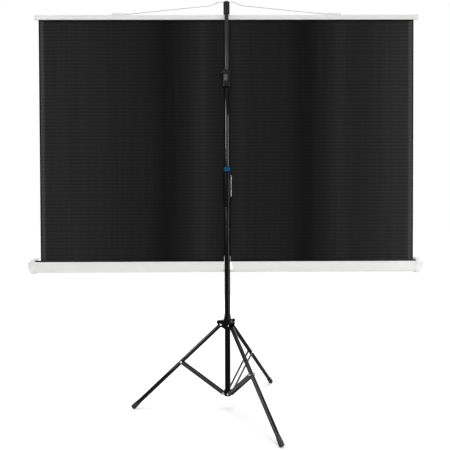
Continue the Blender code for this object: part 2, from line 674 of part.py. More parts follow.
def make_collar():
    neck = COLLAR_BORE + COLLAR_NECK_WALL
    neck_bottom = COLLAR_TOP - COLLAR_NECK_HEIGHT
    profile = [(COLLAR_BORE, COLLAR_TOP), (neck, COLLAR_TOP), (COLLAR_RADIUS, neck_bottom),
               (COLLAR_RADIUS, COLLAR_BOTTOM + COLLAR_EDGE), (COLLAR_RADIUS - COLLAR_EDGE, COLLAR_BOTTOM),
               (COLLAR_BORE, COLLAR_BOTTOM)]
    slide = parent_empty("collar_slide", MAST @ Matrix.Translation((0, 0, LEG_PIVOT_HEIGHT)))
    collar = turned("leg_collar", profile, BLACK_PLASTIC, MAST, ring=True, parent=slide)
    for number, azimuth in enumerate(LEG_AZIMUTHS, 1):
        pivot = (LEG_PIVOT_RADIUS, LEG_PIVOT_HEIGHT)
        hood_end = (HOOD_END, HOOD_TOP - HOOD_END_RADIUS)
        outline = [(COLLAR_BORE, COLLAR_BOTTOM + COLLAR_EDGE),
                   *arc(pivot, CHEEK_RADIUS, -60, -20, CORNER_STEPS),
                   *arc(hood_end, HOOD_END_RADIUS, -45, 90, ROUND_END_STEPS),
                   (COLLAR_BORE, HOOD_TOP + HOOD_ROOT_RISE)]
        hood_root = COLLAR_BORE + COLLAR_WALL / 2
        hood_outline = [(hood_root, HOOD_BOTTOM), (HOOD_END, HOOD_BOTTOM),
                        (HOOD_END, HOOD_TOP - JOIN_OVERLAP), (hood_root, HOOD_TOP)]
        frame = radial_frame(azimuth) @ TURN_TO_Y
        for side, low, high in (("a", -CHEEK_OUTER, -CHEEK_INNER), ("b", CHEEK_INNER, CHEEK_OUTER)):
            cheek = extruded(f"cheek_{number}{side}", outline, low, high, None, frame, slide)
            join(collar, cheek)
        hood_half = CHEEK_INNER + JOIN_OVERLAP
        join(collar, extruded(f"hood_{number}", hood_outline, -hood_half, hood_half, None, frame, slide))
    knob_axis = radial_frame(KNOB_AZIMUTH, 0, KNOB_HEIGHT) @ TURN_TO_X
    boss_end = COLLAR_BORE + BOSS_LENGTH
    boss_start = COLLAR_BORE + JOIN_OVERLAP
    join(collar, rod("knob_boss", BOSS_RADIUS, boss_start, boss_end, None, knob_axis, parent=slide))
    stud_hole = rod("stud_hole", STUD_RADIUS + SEAT_GAP, UPPER_RADIUS, boss_end + CUT_OVERRUN, None,
                    knob_axis, PIN_STEPS, slide)
    cut(collar, stud_hole)
    for number, azimuth in enumerate(LEG_AZIMUTHS, 1):
        axis = radial_frame(azimuth, LEG_PIVOT_RADIUS, LEG_PIVOT_HEIGHT) @ TURN_TO_Y
        reach = CHEEK_OUTER + CUT_OVERRUN
        hole = rod(f"collar_hole_{number}", LEG_PIN_RADIUS + SEAT_GAP, -reach, reach, None, axis,
                   PIN_STEPS, slide)
        cut(collar, hole)
        headed_pin(f"leg_pin_{number}", LEG_PIN_RADIUS, CHEEK_OUTER + SEAT_GAP, PIN_STEEL, axis, slide)
    make_knob(knob_axis, boss_end)


def make_knob(axis, boss_end):
    start = boss_end + SEAT_GAP
    outline = lobed_outline(KNOB_RADIUS, KNOB_LOBE_DEPTH, KNOB_LOBES)
    turn = parent_empty("knob_turn", axis)
    knob = extruded("collar_knob", outline, start, start + KNOB_LENGTH, BLACK_PLASTIC, axis, turn)
    soften(knob, KNOB_EDGE)
    stud = rod("knob_stud", STUD_RADIUS, LOWER_RADIUS + SLIDING_GAP, start + STUD_INTO_KNOB, None, axis,
               PIN_STEPS, turn)
    join(knob, stud)


def make_leg(number, azimuth):
    frame = radial_frame(azimuth, LEG_PIVOT_RADIUS, LEG_PIVOT_HEIGHT) @ Matrix.Rotation(-LEG_TILT, 4, "Y")
    pivot = parent_empty(f"leg_pivot_{number}", frame)
    sole_top = FOOT_SOLE - LEG_LENGTH
    tube_end = sole_top + SEAT_GAP
    leg = tube(f"leg_tube_{number}", LEG_RADIUS, LEG_RADIUS - LEG_WALL, tube_end, LEG_HEAD, GLOSS_BLACK,
               frame,
               parent=pivot)
    cross = frame @ TURN_TO_Y
    reach = LEG_RADIUS + CUT_OVERRUN
    pin_hole = rod(f"leg_hole_{number}", LEG_PIN_RADIUS + RUNNING_GAP, -reach, reach, None, cross,
                   PIN_STEPS, pivot)
    bush_axis = frame @ Matrix.Translation((0, 0, -BRACE_FROM_LEG_PIVOT)) @ TURN_TO_Y
    bush_hole = rod(f"bush_hole_{number}", BUSH_RADIUS + SEAT_GAP, -reach, reach, None, bush_axis,
                    PIN_STEPS, pivot)
    cut(leg, pin_hole, bush_hole)
    bush_reach = STRIP_INNER - SEAT_GAP
    rod(f"brace_bush_{number}", BUSH_RADIUS, -bush_reach, bush_reach, PIN_STEEL, bush_axis, PIN_STEPS,
        pivot)
    make_foot(number, frame, pivot, sole_top)


def make_foot(number, frame, pivot, sole_top):
    bore = LEG_RADIUS + SEAT_GAP
    neck = bore + FOOT_NECK_WALL
    top = FOOT_HEIGHT - LEG_LENGTH
    corner = (FOOT_RADIUS - FOOT_EDGE, FOOT_EDGE - LEG_LENGTH)
    profile = [(0, sole_top), (bore, sole_top), (bore, top), (neck, top), (neck, top - FOOT_NECK_HEIGHT),
               *reversed(arc(corner, FOOT_EDGE, -90, 0)), (0, -LEG_LENGTH)]
    foot = turned(f"leg_foot_{number}", profile, RUBBER, frame, parent=pivot)
    reach = FOOT_RADIUS + CUT_OVERRUN
    tip = frame @ Vector((0, 0, -LEG_LENGTH))
    floor = Matrix.Translation((tip.x, tip.y, 0))
    cut(foot, box(f"floor_{number}", (-reach * 2, -reach * 2, -reach), (reach * 2, reach * 2, 0), None,
                  floor, pivot))


def make_brace(number, azimuth):
    pivot_frame = radial_frame(azimuth, BRACE_PIVOT_RADIUS, BRACE_PIVOT_HEIGHT)
    pivot_frame = pivot_frame @ Matrix.Rotation(BRACE_TILT, 4, "Y")
    pivot = parent_empty(f"brace_pivot_{number}", pivot_frame)
    end = STRIP_WIDTH / 2
    outline = [*arc((0, 0), end, 180, 360, ROUND_END_STEPS),
               *arc((0, BRACE_LENGTH), end, 0, 180, ROUND_END_STEPS)]
    for letter, side in (("a", -1), ("b", 1)):
        frame = pivot_frame @ Matrix.Translation((0, side * STRIP_MIDDLE, 0)) @ TURN_TO_Y
        half = STRIP_THICKNESS / 2
        strip = extruded(f"brace_strip_{number}{letter}", outline, -half, half, GREY_STEEL, frame, pivot)
        hole = rod(f"strip_hole_{number}{letter}", BRACE_PIN_RADIUS + RUNNING_GAP, -half - CUT_OVERRUN,
                   half + CUT_OVERRUN, None, frame, PIN_STEPS, pivot)
        outwards = frame @ Matrix.Translation((0, BRACE_LENGTH, 0))
        outwards = outwards @ Matrix.Rotation(math.pi * (side > 0), 4, "X")
        top = half + RIVET_HEIGHT
        head_profile = [(0, top), (RIVET_RADIUS - RIVET_HEIGHT / 2, top),
                        (RIVET_RADIUS, half + RIVET_HEIGHT / 2),
                        (RIVET_RADIUS, half - JOIN_OVERLAP), (0, half - JOIN_OVERLAP)]
        head = turned(f"rivet_{number}{letter}", head_profile, None, outwards, steps=PIN_STEPS,
                      parent=pivot)
        join(strip, head)
        cut(strip, hole)


def make_grip():
    profile = [(0, GRIP_TOP), (GRIP_RADIUS - GRIP_EDGE, GRIP_TOP), (GRIP_RADIUS, GRIP_TOP - GRIP_EDGE),
               (GRIP_RADIUS, GRIP_BODY_BOTTOM + GRIP_EDGE), (GRIP_RADIUS - GRIP_EDGE, GRIP_BODY_BOTTOM),
               (GRIP_NECK_RADIUS, GRIP_BODY_BOTTOM), (GRIP_NECK_RADIUS, GRIP_BOTTOM), (0, GRIP_BOTTOM)]
    grip = turned("grip_body", profile, BLACK_PLASTIC, MAST)
    half_slot = LEVER_THICKNESS / 2 + SLOT_SIDE_GAP
    half_ears = half_slot + EAR_THICKNESS
    pivot = (LEVER_PIVOT_OFFSET, LEVER_PIVOT_HEIGHT)
    ears_outline = [(LOWER_RADIUS, LEVER_PIVOT_HEIGHT - EAR_RADIUS),
                    *arc(pivot, EAR_RADIUS, -90, 90, ROUND_END_STEPS),
                    (LOWER_RADIUS, LEVER_PIVOT_HEIGHT + EAR_RADIUS)]
    ears = extruded("grip_ears", ears_outline, -half_ears, half_ears, None, MAST @ TURN_TO_Y)
    join(grip, ears)
    slot_low = LEVER_PIVOT_HEIGHT - LEVER_END_RADIUS - SLOT_END_GAP
    slot_out = LEVER_FRONT + EAR_RADIUS
    slot = box("lever_slot", (SLOT_FLOOR, -half_slot, slot_low),
               (slot_out, half_slot, LEVER_TOP + SLOT_END_GAP),
               None, MAST)
    bore = rod("grip_bore", LOWER_RADIUS + SEAT_GAP, GRIP_BOTTOM - CUT_OVERRUN, LOWER_TOP + SEAT_GAP,
               None, MAST)
    guide = rod("guide_bore", MIDDLE_RADIUS + RUNNING_GAP, GRIP_BOTTOM, GRIP_TOP + CUT_OVERRUN, None,
                MAST)
    shoe_low = LEVER_PIVOT_HEIGHT + SHOE_RISE
    window_half = SHOE_HALF_WIDTH + SLIDING_GAP
    window = box("shoe_window", (MIDDLE_BORE, -window_half, shoe_low - SHOE_WINDOW_GAP),
                 (SLOT_FLOOR + CUT_OVERRUN, window_half,
                  shoe_low + SHOE_HEIGHT + SHOE_WINDOW_GAP), None, MAST)
    lever_axis = MAST @ Matrix.Translation((LEVER_PIVOT_OFFSET, 0, LEVER_PIVOT_HEIGHT)) @ TURN_TO_Y
    pin_hole = rod("lever_pin_hole", LEVER_PIN_RADIUS + SEAT_GAP, -half_ears - CUT_OVERRUN,
                   half_ears + CUT_OVERRUN, None, lever_axis, PIN_STEPS)
    cut(grip, slot, bore, guide, window, pin_hole)
    rod("lever_pin", LEVER_PIN_RADIUS, -half_ears, half_ears, PIN_STEEL, lever_axis, PIN_STEPS)
    make_lever(lever_axis, shoe_low)
    make_bushing()


def make_lever(axis, shoe_low):
    swing = parent_empty("lever_swing", axis)
    front = LEVER_FRONT - LEVER_PIVOT_OFFSET
    back = LEVER_BACK - LEVER_PIVOT_OFFSET
    tip_front = LEVER_TIP_FRONT - LEVER_PIVOT_OFFSET
    outline = [*arc((0, 0), LEVER_END_RADIUS, 180, 360, ROUND_END_STEPS), (front, LEVER_END_RADIUS * 2),
               (front, LEVER_LENGTH - LEVER_TIP_HEIGHT), (tip_front, LEVER_LENGTH), (back, LEVER_LENGTH),
               (back, LEVER_END_RADIUS)]
    half = LEVER_THICKNESS / 2
    lever = extruded("lock_lever", outline, -half, half, LEVER_METAL, axis, swing)
    hole = rod("lever_bore", LEVER_PIN_RADIUS + RUNNING_GAP, -half - CUT_OVERRUN, half + CUT_OVERRUN,
               None, axis, PIN_STEPS, swing)
    cut(lever, hole)
    box("lock_shoe", (MIDDLE_RADIUS + RUNNING_GAP, -SHOE_HALF_WIDTH, shoe_low),
        (LEVER_BACK - SEAT_GAP, SHOE_HALF_WIDTH, shoe_low + SHOE_HEIGHT), RUBBER, MAST, swing)


def make_bushing():
    low = GRIP_TOP + SEAT_GAP
    inner = MIDDLE_RADIUS + RUNNING_GAP
    profile = [(BUSHING_RADIUS - BUSHING_EDGE, BUSHING_TOP), (BUSHING_RADIUS, BUSHING_TOP - BUSHING_EDGE),
               (BUSHING_RADIUS, low), (inner, low), (inner, BUSHING_TOP)]
    turned("lock_bushing", profile, BLUE_PLASTIC, MAST, ring=True)


def make_upper_lock(parent):
    outline = rounded_rectangle(-LOCK_LEFT, LOCK_RIGHT, -LOCK_FRONT, LOCK_BACK, LOCK_EDGE, LOCK_EDGE)
    lock = extruded("upper_lock", outline, LOCK_BOTTOM, LOCK_TOP, BLACK_PLASTIC, MAST, parent)
    flange_high = LOCK_TOP - FLANGE_BELOW_TOP + FLANGE_HEIGHT
    flange_outline = rounded_rectangle(-FLANGE_LEFT, FLANGE_RIGHT, -FLANGE_HALF_DEPTH, FLANGE_HALF_DEPTH,
                                       LOCK_EDGE, LOCK_EDGE)
    flange = extruded("lock_flange", flange_outline, flange_high - FLANGE_HEIGHT, flange_high, None, MAST,
                      parent)
    lip_outline = rounded_rectangle(-LOCK_LEFT - LIP_REACH, LOCK_RIGHT + LIP_REACH,
                                    -LOCK_FRONT - LIP_REACH,
                                    LOCK_BACK - JOIN_OVERLAP, LOCK_EDGE, LOCK_EDGE)
    lip_low = LOCK_BOTTOM + LIP_RISE
    lip = extruded("lock_lip", lip_outline, lip_low, lip_low + LIP_HEIGHT, None, MAST, parent)
    join(lock, flange, lip)
    seat = rod("lock_seat", MIDDLE_RADIUS + SEAT_GAP, LOCK_BOTTOM - CUT_OVERRUN, MIDDLE_TOP + SEAT_GAP,
               None, MAST,
               parent=parent)
    guide = rod("lock_guide", UPPER_RADIUS + RUNNING_GAP, LOCK_BOTTOM, LOCK_TOP + CUT_OVERRUN, None, MAST,
                parent=parent)
    button_frame = MAST @ Matrix.Translation((BUTTON_OFFSET, -LOCK_FRONT, BUTTON_HEIGHT_MIDDLE))
    button_frame = button_frame @ TURN_TO_Y
    half_width = BUTTON_WIDTH / 2
    half_height = BUTTON_HEIGHT / 2
    pocket_outline = rounded_rectangle(-half_width, half_width, -half_height, half_height, BUTTON_EDGE,
                                       BUTTON_EDGE)
    pocket = extruded("button_pocket", pocket_outline, -POCKET_DEPTH, CUT_OVERRUN, None, button_frame,
                      parent)
    cut(lock, seat, guide, pocket)
    push = parent_empty("button_push", button_frame)
    push.parent = parent
    push.matrix_parent_inverse = parent.matrix_basis.inverted()
    button_outline = rounded_rectangle(-half_width + RUNNING_GAP, half_width - RUNNING_GAP,
                                       -half_height + RUNNING_GAP, half_height - RUNNING_GAP,
                                       BUTTON_EDGE - RUNNING_GAP, BUTTON_EDGE - RUNNING_GAP)
    button = extruded("lock_button", button_outline, BUTTON_PROUD - BUTTON_DEPTH, BUTTON_PROUD,
                      GREY_PLASTIC, button_frame, push)
    soften(button, BUTTON_FACE_EDGE, 1)


def make_hook_cap(parent):
    outline = lobed_outline(CAP_RADIUS, CAP_RIB_DEPTH, CAP_RIBS)
    cap = extruded("hook_cap", outline, CAP_BOTTOM, CAP_TOP, BLACK_PLASTIC, MAST, parent)
    soften(cap, CAP_EDGE)
    half_notch = WIRE_RADIUS + NOTCH_PLAY
    notch_floor = WIRE_TOP_Z - WIRE_RADIUS - SEAT_GAP
    half_width = HOOK_WIDTH / 2
    hook_end = SHEET_Y + half_notch + HOOK_TIP_WALL
    notch_start = SHEET_Y - half_notch
    outline = [(HOOK_ROOT, CAP_TOP - HOOK_BELOW_CAP_TOP), (hook_end, notch_floor - HOOK_DEPTH),
               (hook_end, notch_floor + HOOK_LIP), (notch_start, notch_floor + HOOK_LIP),
               (HOOK_ROOT, CAP_TOP - CAP_EDGE)]
    arm = extruded("hook_arm", outline, -half_width, half_width, None,
                   MAST @ SECTION_ALONG_X, parent)
    join(cap, arm)
    notch = box("hook_notch", (-half_width - CUT_OVERRUN, SHEET_Y - half_notch, notch_floor),
                (half_width + CUT_OVERRUN, SHEET_Y + half_notch, notch_floor + HOOK_LIP + CUT_OVERRUN),
                None, MAST, parent)
    seat = rod("cap_seat", UPPER_RADIUS + SEAT_GAP, CAP_BOTTOM - CUT_OVERRUN, UPPER_TOP + SEAT_GAP, None,
               MAST,
               parent=parent)
    cut(cap, notch, seat)


def case_outline(grow=0):
    """The case's section in (y, z), open at the slot for grow 0, or closed and grown for a cap."""
    near = CASE_NEAR - grow
    far = CASE_FAR + grow
    low = CASE_BOTTOM - grow
    high = CASE_TOP + grow
    lower = CASE_LOWER_CORNER + grow
    upper = CASE_UPPER_CORNER + grow
    round_corners = (arc((near + upper, high - upper), upper, 90, 180)
                     + arc((near + lower, low + lower), lower, 180, 270)
                     + arc((far - lower, low + lower), lower, 270, 360)
                     + arc((far - upper, high - upper), upper, 0, 90))
    if grow:
        return round_corners
    return [(SHEET_Y - SLOT_HALF, high), *round_corners, (SHEET_Y + SLOT_HALF, high)]


def make_case(pivot):
    section = CASE_FRAME @ SECTION_ALONG_X
    shell = channel("case_shell", case_outline(), -CASE_HALF_LENGTH, CASE_HALF_LENGTH, CASE_WALL,
                    WHITE_PAINT, section, pivot)
    bolt_axis = MAST @ Matrix.Translation((0, 0, CASE_MIDDLE_Z)) @ Matrix.Rotation(-math.pi / 2, 4, "X")
    bolt_hole = rod("bolt_hole", PIVOT_BOLT_RADIUS + SEAT_GAP, LOWER_RADIUS,
                    CASE_NEAR + CASE_WALL + CUT_OVERRUN, None,
                    bolt_axis, PIN_STEPS, pivot)
    cut(shell, bolt_hole)
    for name, side in (("slot_lip_near", -1), ("slot_lip_far", 1)):
        make_lip(name, side, section, pivot)
    plate_outline = rounded_rectangle(-CASE_PLATE_HALF_WIDTH, CASE_PLATE_HALF_WIDTH,
                                      CASE_MIDDLE_Z - CASE_PLATE_HALF_HEIGHT, CASE_MIDDLE_Z + CASE_PLATE_HALF_HEIGHT,
                                      CASE_PLATE_EDGE, CASE_PLATE_EDGE)
    plate_back = CASE_NEAR - SEAT_GAP
    plate = extruded("case_plate", plate_outline, -plate_back, CASE_PLATE_THICKNESS - plate_back, ZINC,
                     MAST @ TURN_TO_Y, pivot)
    cut(plate, bolt_hole)
    head = CASE_NEAR + CASE_WALL + SEAT_GAP
    bolt_start = LOWER_RADIUS + SLIDING_GAP
    bolt_profile = [(0, head + PIVOT_HEAD_HEIGHT), (PIVOT_HEAD_RADIUS, head + PIVOT_HEAD_HEIGHT),
                    (PIVOT_HEAD_RADIUS, head), (PIVOT_BOLT_RADIUS, head), (PIVOT_BOLT_RADIUS, bolt_start),
                    (0, bolt_start)]
    turned("pivot_bolt", bolt_profile, PIN_STEEL, bolt_axis, steps=PIN_STEPS, parent=pivot)
    for name, side in (("end_cap_left", -1), ("end_cap_right", 1)):
        make_end_cap(name, side, section, pivot)
    make_bracket(bolt_axis)


def make_lip(name, side, section, pivot):
    """A black lip that grips the case's wall at the slot: a blade with a flange above and one below."""
    inner = LIP_INNER_GAP
    outer = inner + LIP_THICKNESS
    reach = outer + LIP_FLANGE_REACH
    over = CASE_TOP + SEAT_GAP
    under = CASE_TOP - CASE_WALL - SEAT_GAP
    low = under - LIP_FLANGE_THICKNESS
    half_outline = [(inner, low), (inner, CASE_TOP + LIP_ABOVE_CASE), (outer, CASE_TOP + LIP_ABOVE_CASE),
                    (outer, over + LIP_FLANGE_THICKNESS), (reach, over + LIP_FLANGE_THICKNESS),
                    (reach, over),
                    (outer, over), (outer, under), (reach, under), (reach, low)]
    outline = [(SHEET_Y + side * offset, height) for offset, height in half_outline]
    extruded(name, outline, -LIP_HALF_LENGTH, LIP_HALF_LENGTH, BLACK_PLASTIC, section, pivot)


def make_end_cap(name, side, section, pivot):
    """A moulded cap that sleeves over the case's end, with an upright ear over the slot's end."""
    inner = -END_CAP_SLEEVE
    low = CASE_BOTTOM - END_CAP_DROP
    shoulder = CASE_TOP + END_CAP_WALL
    parting = CASE_TOP - END_CAP_PARTING_BELOW_TOP
    ear_top = CASE_TOP + EAR_ABOVE_CASE
    bulge = low + END_CAP_BULGE_HEIGHT
    bulge_outline = [(END_CAP_BOTTOM_REACH, low), (END_CAP_REACH - END_CAP_EDGE, bulge - END_CAP_CROWN),
                     (END_CAP_REACH, bulge), (END_CAP_REACH - END_CAP_EDGE, parting)]
    half_outline = [(inner, low), *bulge_outline, (END_CAP_TOP_REACH, shoulder),
                    (EAR_OUTER_REACH, shoulder), (EAR_OUTER_REACH, ear_top), (inner, ear_top)]
    outline = [(side * (CASE_HALF_LENGTH + reach), height) for reach, height in half_outline]
    near = CASE_NEAR - SEAT_GAP - END_CAP_WALL
    far = CASE_FAR + SEAT_GAP + END_CAP_WALL
    cap = extruded(name, outline, -far, -near, WHITE_PLASTIC, CASE_FRAME @ TURN_TO_Y, pivot)
    soften(cap, END_CAP_EDGE)
    span = sorted((side * (CASE_HALF_LENGTH - END_CAP_SLEEVE - CUT_OVERRUN),
                   side * (CASE_HALF_LENGTH + SEAT_GAP)))
    pocket = extruded(name + "_pocket", case_outline(SEAT_GAP), span[0], span[1], None, section, pivot)
    bearing_axis = CASE_FRAME @ Matrix.Translation((0, ROLLER_Y, ROLLER_Z)) @ TURN_TO_X
    hole_span = sorted((side * CASE_HALF_LENGTH, side * (BEARING_HALF_SPAN + SEAT_GAP)))
    hole = rod(name + "_bearing", ARBOR_RADIUS + SEAT_GAP, hole_span[0], hole_span[1], None, bearing_axis,
               PIN_STEPS, pivot)
    cut(cap, pocket, hole)


def make_bracket(bolt_axis):
    """The saddle behind the mast that carries the case's pivot bolt."""
    plate_far = LOWER_RADIUS + SEAT_GAP + BRACKET_PLATE
    bracket = box("pole_bracket", (-BRACKET_HALF_WIDTH, plate_far - BRACKET_WING,
                                   CASE_MIDDLE_Z - BRACKET_BELOW_PIVOT),
                  (BRACKET_HALF_WIDTH, plate_far, CASE_TOP + BRACKET_ABOVE_CASE), ZINC, MAST)
    groove = rod("bracket_groove", LOWER_RADIUS + SEAT_GAP,
                 CASE_MIDDLE_Z - BRACKET_BELOW_PIVOT - CUT_OVERRUN,
                 CASE_TOP + BRACKET_ABOVE_CASE + CUT_OVERRUN, None, MAST)
    hole = rod("bracket_hole", PIVOT_BOLT_RADIUS + RUNNING_GAP, 0, plate_far + CUT_OVERRUN, None,
               bolt_axis, PIN_STEPS)
    cut(bracket, groove, hole)


def make_roller():
    axis = CASE_FRAME @ Matrix.Translation((0, ROLLER_Y, ROLLER_Z)) @ TURN_TO_X
    turn = parent_empty("roller_turn", axis)
    tube("roller_tube", ROLLER_RADIUS, ROLLER_BORE, -ROLLER_HALF_LENGTH, ROLLER_HALF_LENGTH, ALUMINIUM,
         axis,
         parent=turn)
    sheet_low = MAST_OFFSET - SHEET_HALF_WIDTH
    sheet_high = MAST_OFFSET + SHEET_HALF_WIDTH
    tube("fabric_roll", WOUND_RADIUS, ROLLER_RADIUS + SEAT_GAP, sheet_low, sheet_high, BACKING_CLOTH,
         axis, parent=turn)
    bore = ARBOR_RADIUS + RUNNING_GAP
    spigot = ROLLER_BORE - SEAT_GAP
    flange_in = ROLLER_HALF_LENGTH + SEAT_GAP
    flange_out = flange_in + PLUG_FLANGE
    spigot_end = ROLLER_HALF_LENGTH - PLUG_SPIGOT
    right_profile = [(ROLLER_RADIUS, flange_out), (ROLLER_RADIUS, flange_in), (spigot, flange_in),
                     (spigot, spigot_end), (bore, spigot_end), (bore, flange_out)]
    left_profile = [(radius, -along) for radius, along in reversed(right_profile)]
    turned("roller_plug_right", right_profile, BLACK_PLASTIC, axis, ring=True, steps=PIN_STEPS,
           parent=turn)
    turned("roller_plug_left", left_profile, BLACK_PLASTIC, axis, ring=True, steps=PIN_STEPS, parent=turn)
    make_roller_spring(axis, turn)
    return axis


def make_roller_spring(axis, turn):
    start = -ROLLER_HALF_LENGTH + PLUG_SPIGOT + SPRING_WIRE_RADIUS + SEAT_GAP
    steps = SPRING_TURNS * SPRING_STEPS_PER_TURN
    points = []
    for i in range(steps + 1):
        angle = 2 * math.pi * i / SPRING_STEPS_PER_TURN
        along = start + SPRING_PITCH * i / SPRING_STEPS_PER_TURN
        points.append((SPRING_RADIUS * math.cos(angle), SPRING_RADIUS * math.sin(angle), along))
    add("roller_spring", wire_mesh("roller_spring", points, SPRING_WIRE_RADIUS, 1), PIN_STEEL, axis, turn)


def make_roller_bearings(axis, pivot):
    rod("spring_arbor", ARBOR_RADIUS, -BEARING_HALF_SPAN, ARBOR_LENGTH - BEARING_HALF_SPAN, PIN_STEEL,
        axis, PIN_STEPS,
        pivot)
    rod("idle_pin", ARBOR_RADIUS, BEARING_HALF_SPAN - IDLE_PIN_LENGTH, BEARING_HALF_SPAN, PIN_STEEL, axis,
        PIN_STEPS,
        pivot)


def sheet_wave(along):
    """How far the slack sheet stands off its plane, as waves across its width."""
    waves = zip(WAVE_DEPTHS, WAVE_LENGTHS)
    return sum(depth * math.sin(2 * math.pi * along / length) for depth, length in waves)


def make_sheet(parent):
    """The sheet from the roller up into the bar: one ring of points to a column, then bridged."""
    low = ROLLER_Z + SEAT_GAP
    thick = SHEET_THICKNESS / 2
    bead = BEAD_THICKNESS / 2
    heights = [low + share * (BAR_BOTTOM - low) for share in SHEET_ROW_SHARES]
    wavy = [low + WAVE_START < height < BAR_BOTTOM - WAVE_START for height in heights]
    swells = [waves * math.sqrt(math.sin(math.pi * share)) for waves, share in zip(wavy, SHEET_ROW_SHARES)]
    flank = [(thick, height, swell) for height, swell in zip(heights, swells)]
    flank += [(thick, BEAD_BOTTOM, 0), (bead, BEAD_BOTTOM, 0), (bead, BEAD_BOTTOM + BEAD_HEIGHT, 0)]
    ring = [(-offset, height, swell) for offset, height, swell in flank] + list(reversed(flank))
    solid = bmesh.new()
    columns = []
    for i in range(SHEET_COLUMNS + 1):
        along = SHEET_HALF_WIDTH * (2 * i / SHEET_COLUMNS - 1)
        wave = sheet_wave(along)
        columns.append([solid.verts.new((along, offset + wave * swell, height))
                        for offset, height, swell in ring])
    for left, right in zip(columns, columns[1:]):
        for i in range(len(ring)):
            following = (i + 1) % len(ring)
            solid.faces.new((left[i], right[i], right[following], left[following]))
    for column in (columns[0], columns[-1]):
        solid.faces.new(column)
    bmesh.ops.recalc_face_normals(solid, faces=solid.faces)
    mesh = bpy.data.meshes.new("screen_fabric")
    solid.to_mesh(mesh)
    solid.free()
    add("screen_fabric", mesh, BACKING_CLOTH, MAST @ Matrix.Translation((0, SHEET_Y, 0)), parent)


def make_top_bar(parent):
    half_depth = BAR_DEPTH / 2
    half_slot = SHEET_THICKNESS / 2 + BAR_SLOT_GAP
    near = SHEET_Y - half_depth
    far = SHEET_Y + half_depth
    corner = BAR_CORNER
    outline = [(SHEET_Y + half_slot, BAR_BOTTOM),
               *arc((far - corner, BAR_BOTTOM + corner), corner, 270, 360),
               *arc((far - corner, BAR_TOP - corner), corner, 0, 90),
               *arc((near + corner, BAR_TOP - corner), corner, 90, 180),
               *arc((near + corner, BAR_BOTTOM + corner), corner, 180, 270),
               (SHEET_Y - half_slot, BAR_BOTTOM)]
    section = MAST @ SECTION_ALONG_X
    half_bar = BAR_HALF_LENGTH - BAR_CAP_LENGTH
    channel("top_bar", outline, -half_bar, half_bar, BAR_WALL, WHITE_PAINT, section, parent)
    for name, side in (("bar_cap_left", -1), ("bar_cap_right", 1)):
        make_bar_cap(name, side, half_bar, section, parent)
    for name, side in (("bail_clip_left", -1), ("bail_clip_right", 1)):
        make_bail_clip(name, side, section, parent)


def make_bar_cap(name, side, half_bar, section, parent):
    half_depth = BAR_DEPTH / 2 + BAR_CAP_PROUD
    outer = rounded_rectangle(SHEET_Y - half_depth, SHEET_Y + half_depth, BAR_BOTTOM - BAR_CAP_PROUD,
                              BAR_TOP + BAR_CAP_PROUD, BAR_CORNER + BAR_CAP_PROUD, BAR_CORNER + BAR_CAP_PROUD)
    span = sorted((side * (half_bar + SEAT_GAP), side * BAR_HALF_LENGTH))
    cap = extruded(name, outer, span[0], span[1], WHITE_PLASTIC, section, parent)
    soften(cap, BAR_CAP_EDGE)
    inset = BAR_WALL + SEAT_GAP
    plug_half = BAR_DEPTH / 2 - inset
    plug_outline = rounded_rectangle(SHEET_Y - plug_half, SHEET_Y + plug_half, BAR_BOTTOM + inset,
                                     BAR_TOP - inset, BAR_CORNER - inset, BAR_CORNER - inset)
    plug_span = sorted((side * (half_bar - BAR_PLUG_LENGTH), side * (half_bar + SEAT_GAP + JOIN_OVERLAP)))
    join(cap, extruded(name + "_plug", plug_outline, plug_span[0], plug_span[1], None, section, parent))


def make_bail_clip(name, side, section, parent):
    low = BAR_TOP + SEAT_GAP
    high = low + CLIP_HEIGHT
    outline = [(SHEET_Y - CLIP_HALF_DEPTH, low), (SHEET_Y + CLIP_HALF_DEPTH, low),
               *arc((SHEET_Y + CLIP_HALF_DEPTH - CLIP_CORNER, high - CLIP_CORNER), CLIP_CORNER, 0, 90),
               *arc((SHEET_Y - CLIP_HALF_DEPTH + CLIP_CORNER, high - CLIP_CORNER), CLIP_CORNER, 90, 180)]
    span = sorted((side * CLIP_INNER_END, side * (CLIP_INNER_END + CLIP_LENGTH)))
    clip = extruded(name, outline, span[0], span[1], WHITE_PLASTIC, section, parent)
    wire_axis = MAST @ Matrix.Translation((0, SHEET_Y, WIRE_AXIS_Z)) @ TURN_TO_X
    hole_span = sorted((side * (CLIP_INNER_END - CUT_OVERRUN),
                        side * (CLIP_INNER_END + CLIP_LENGTH - CLIP_END_WALL)))
    cut(clip, rod(name + "_hole", WIRE_RADIUS + RUNNING_GAP, hole_span[0], hole_span[1], None, wire_axis,
                  PIN_STEPS, parent))


def make_bail():
    frame = MAST @ Matrix.Translation((0, SHEET_Y, WIRE_AXIS_Z))
    swing = parent_empty("bail_swing", frame)
    half = [(WIRE_END, 0, 0), (WIRE_FOOT, 0, 0), (WIRE_SHOULDER, 0, WIRE_RISE - WIRE_SHOULDER_DROP),
            (WIRE_FLAT_HALF, 0, WIRE_RISE)]
    corners = [(-x, y, z) for x, y, z in half] + list(reversed(half))
    mesh = wire_mesh("bail_wire", rounded_path(corners, WIRE_BEND), WIRE_RADIUS, 2)
    add("bail_wire", mesh, ZINC, frame, swing)


def smooth_round_pieces():
    for obj in PARTS.objects:
        if obj.type == "MESH":
            obj.data.shade_smooth()
            obj.data.set_sharp_from_angle(angle=math.radians(35))


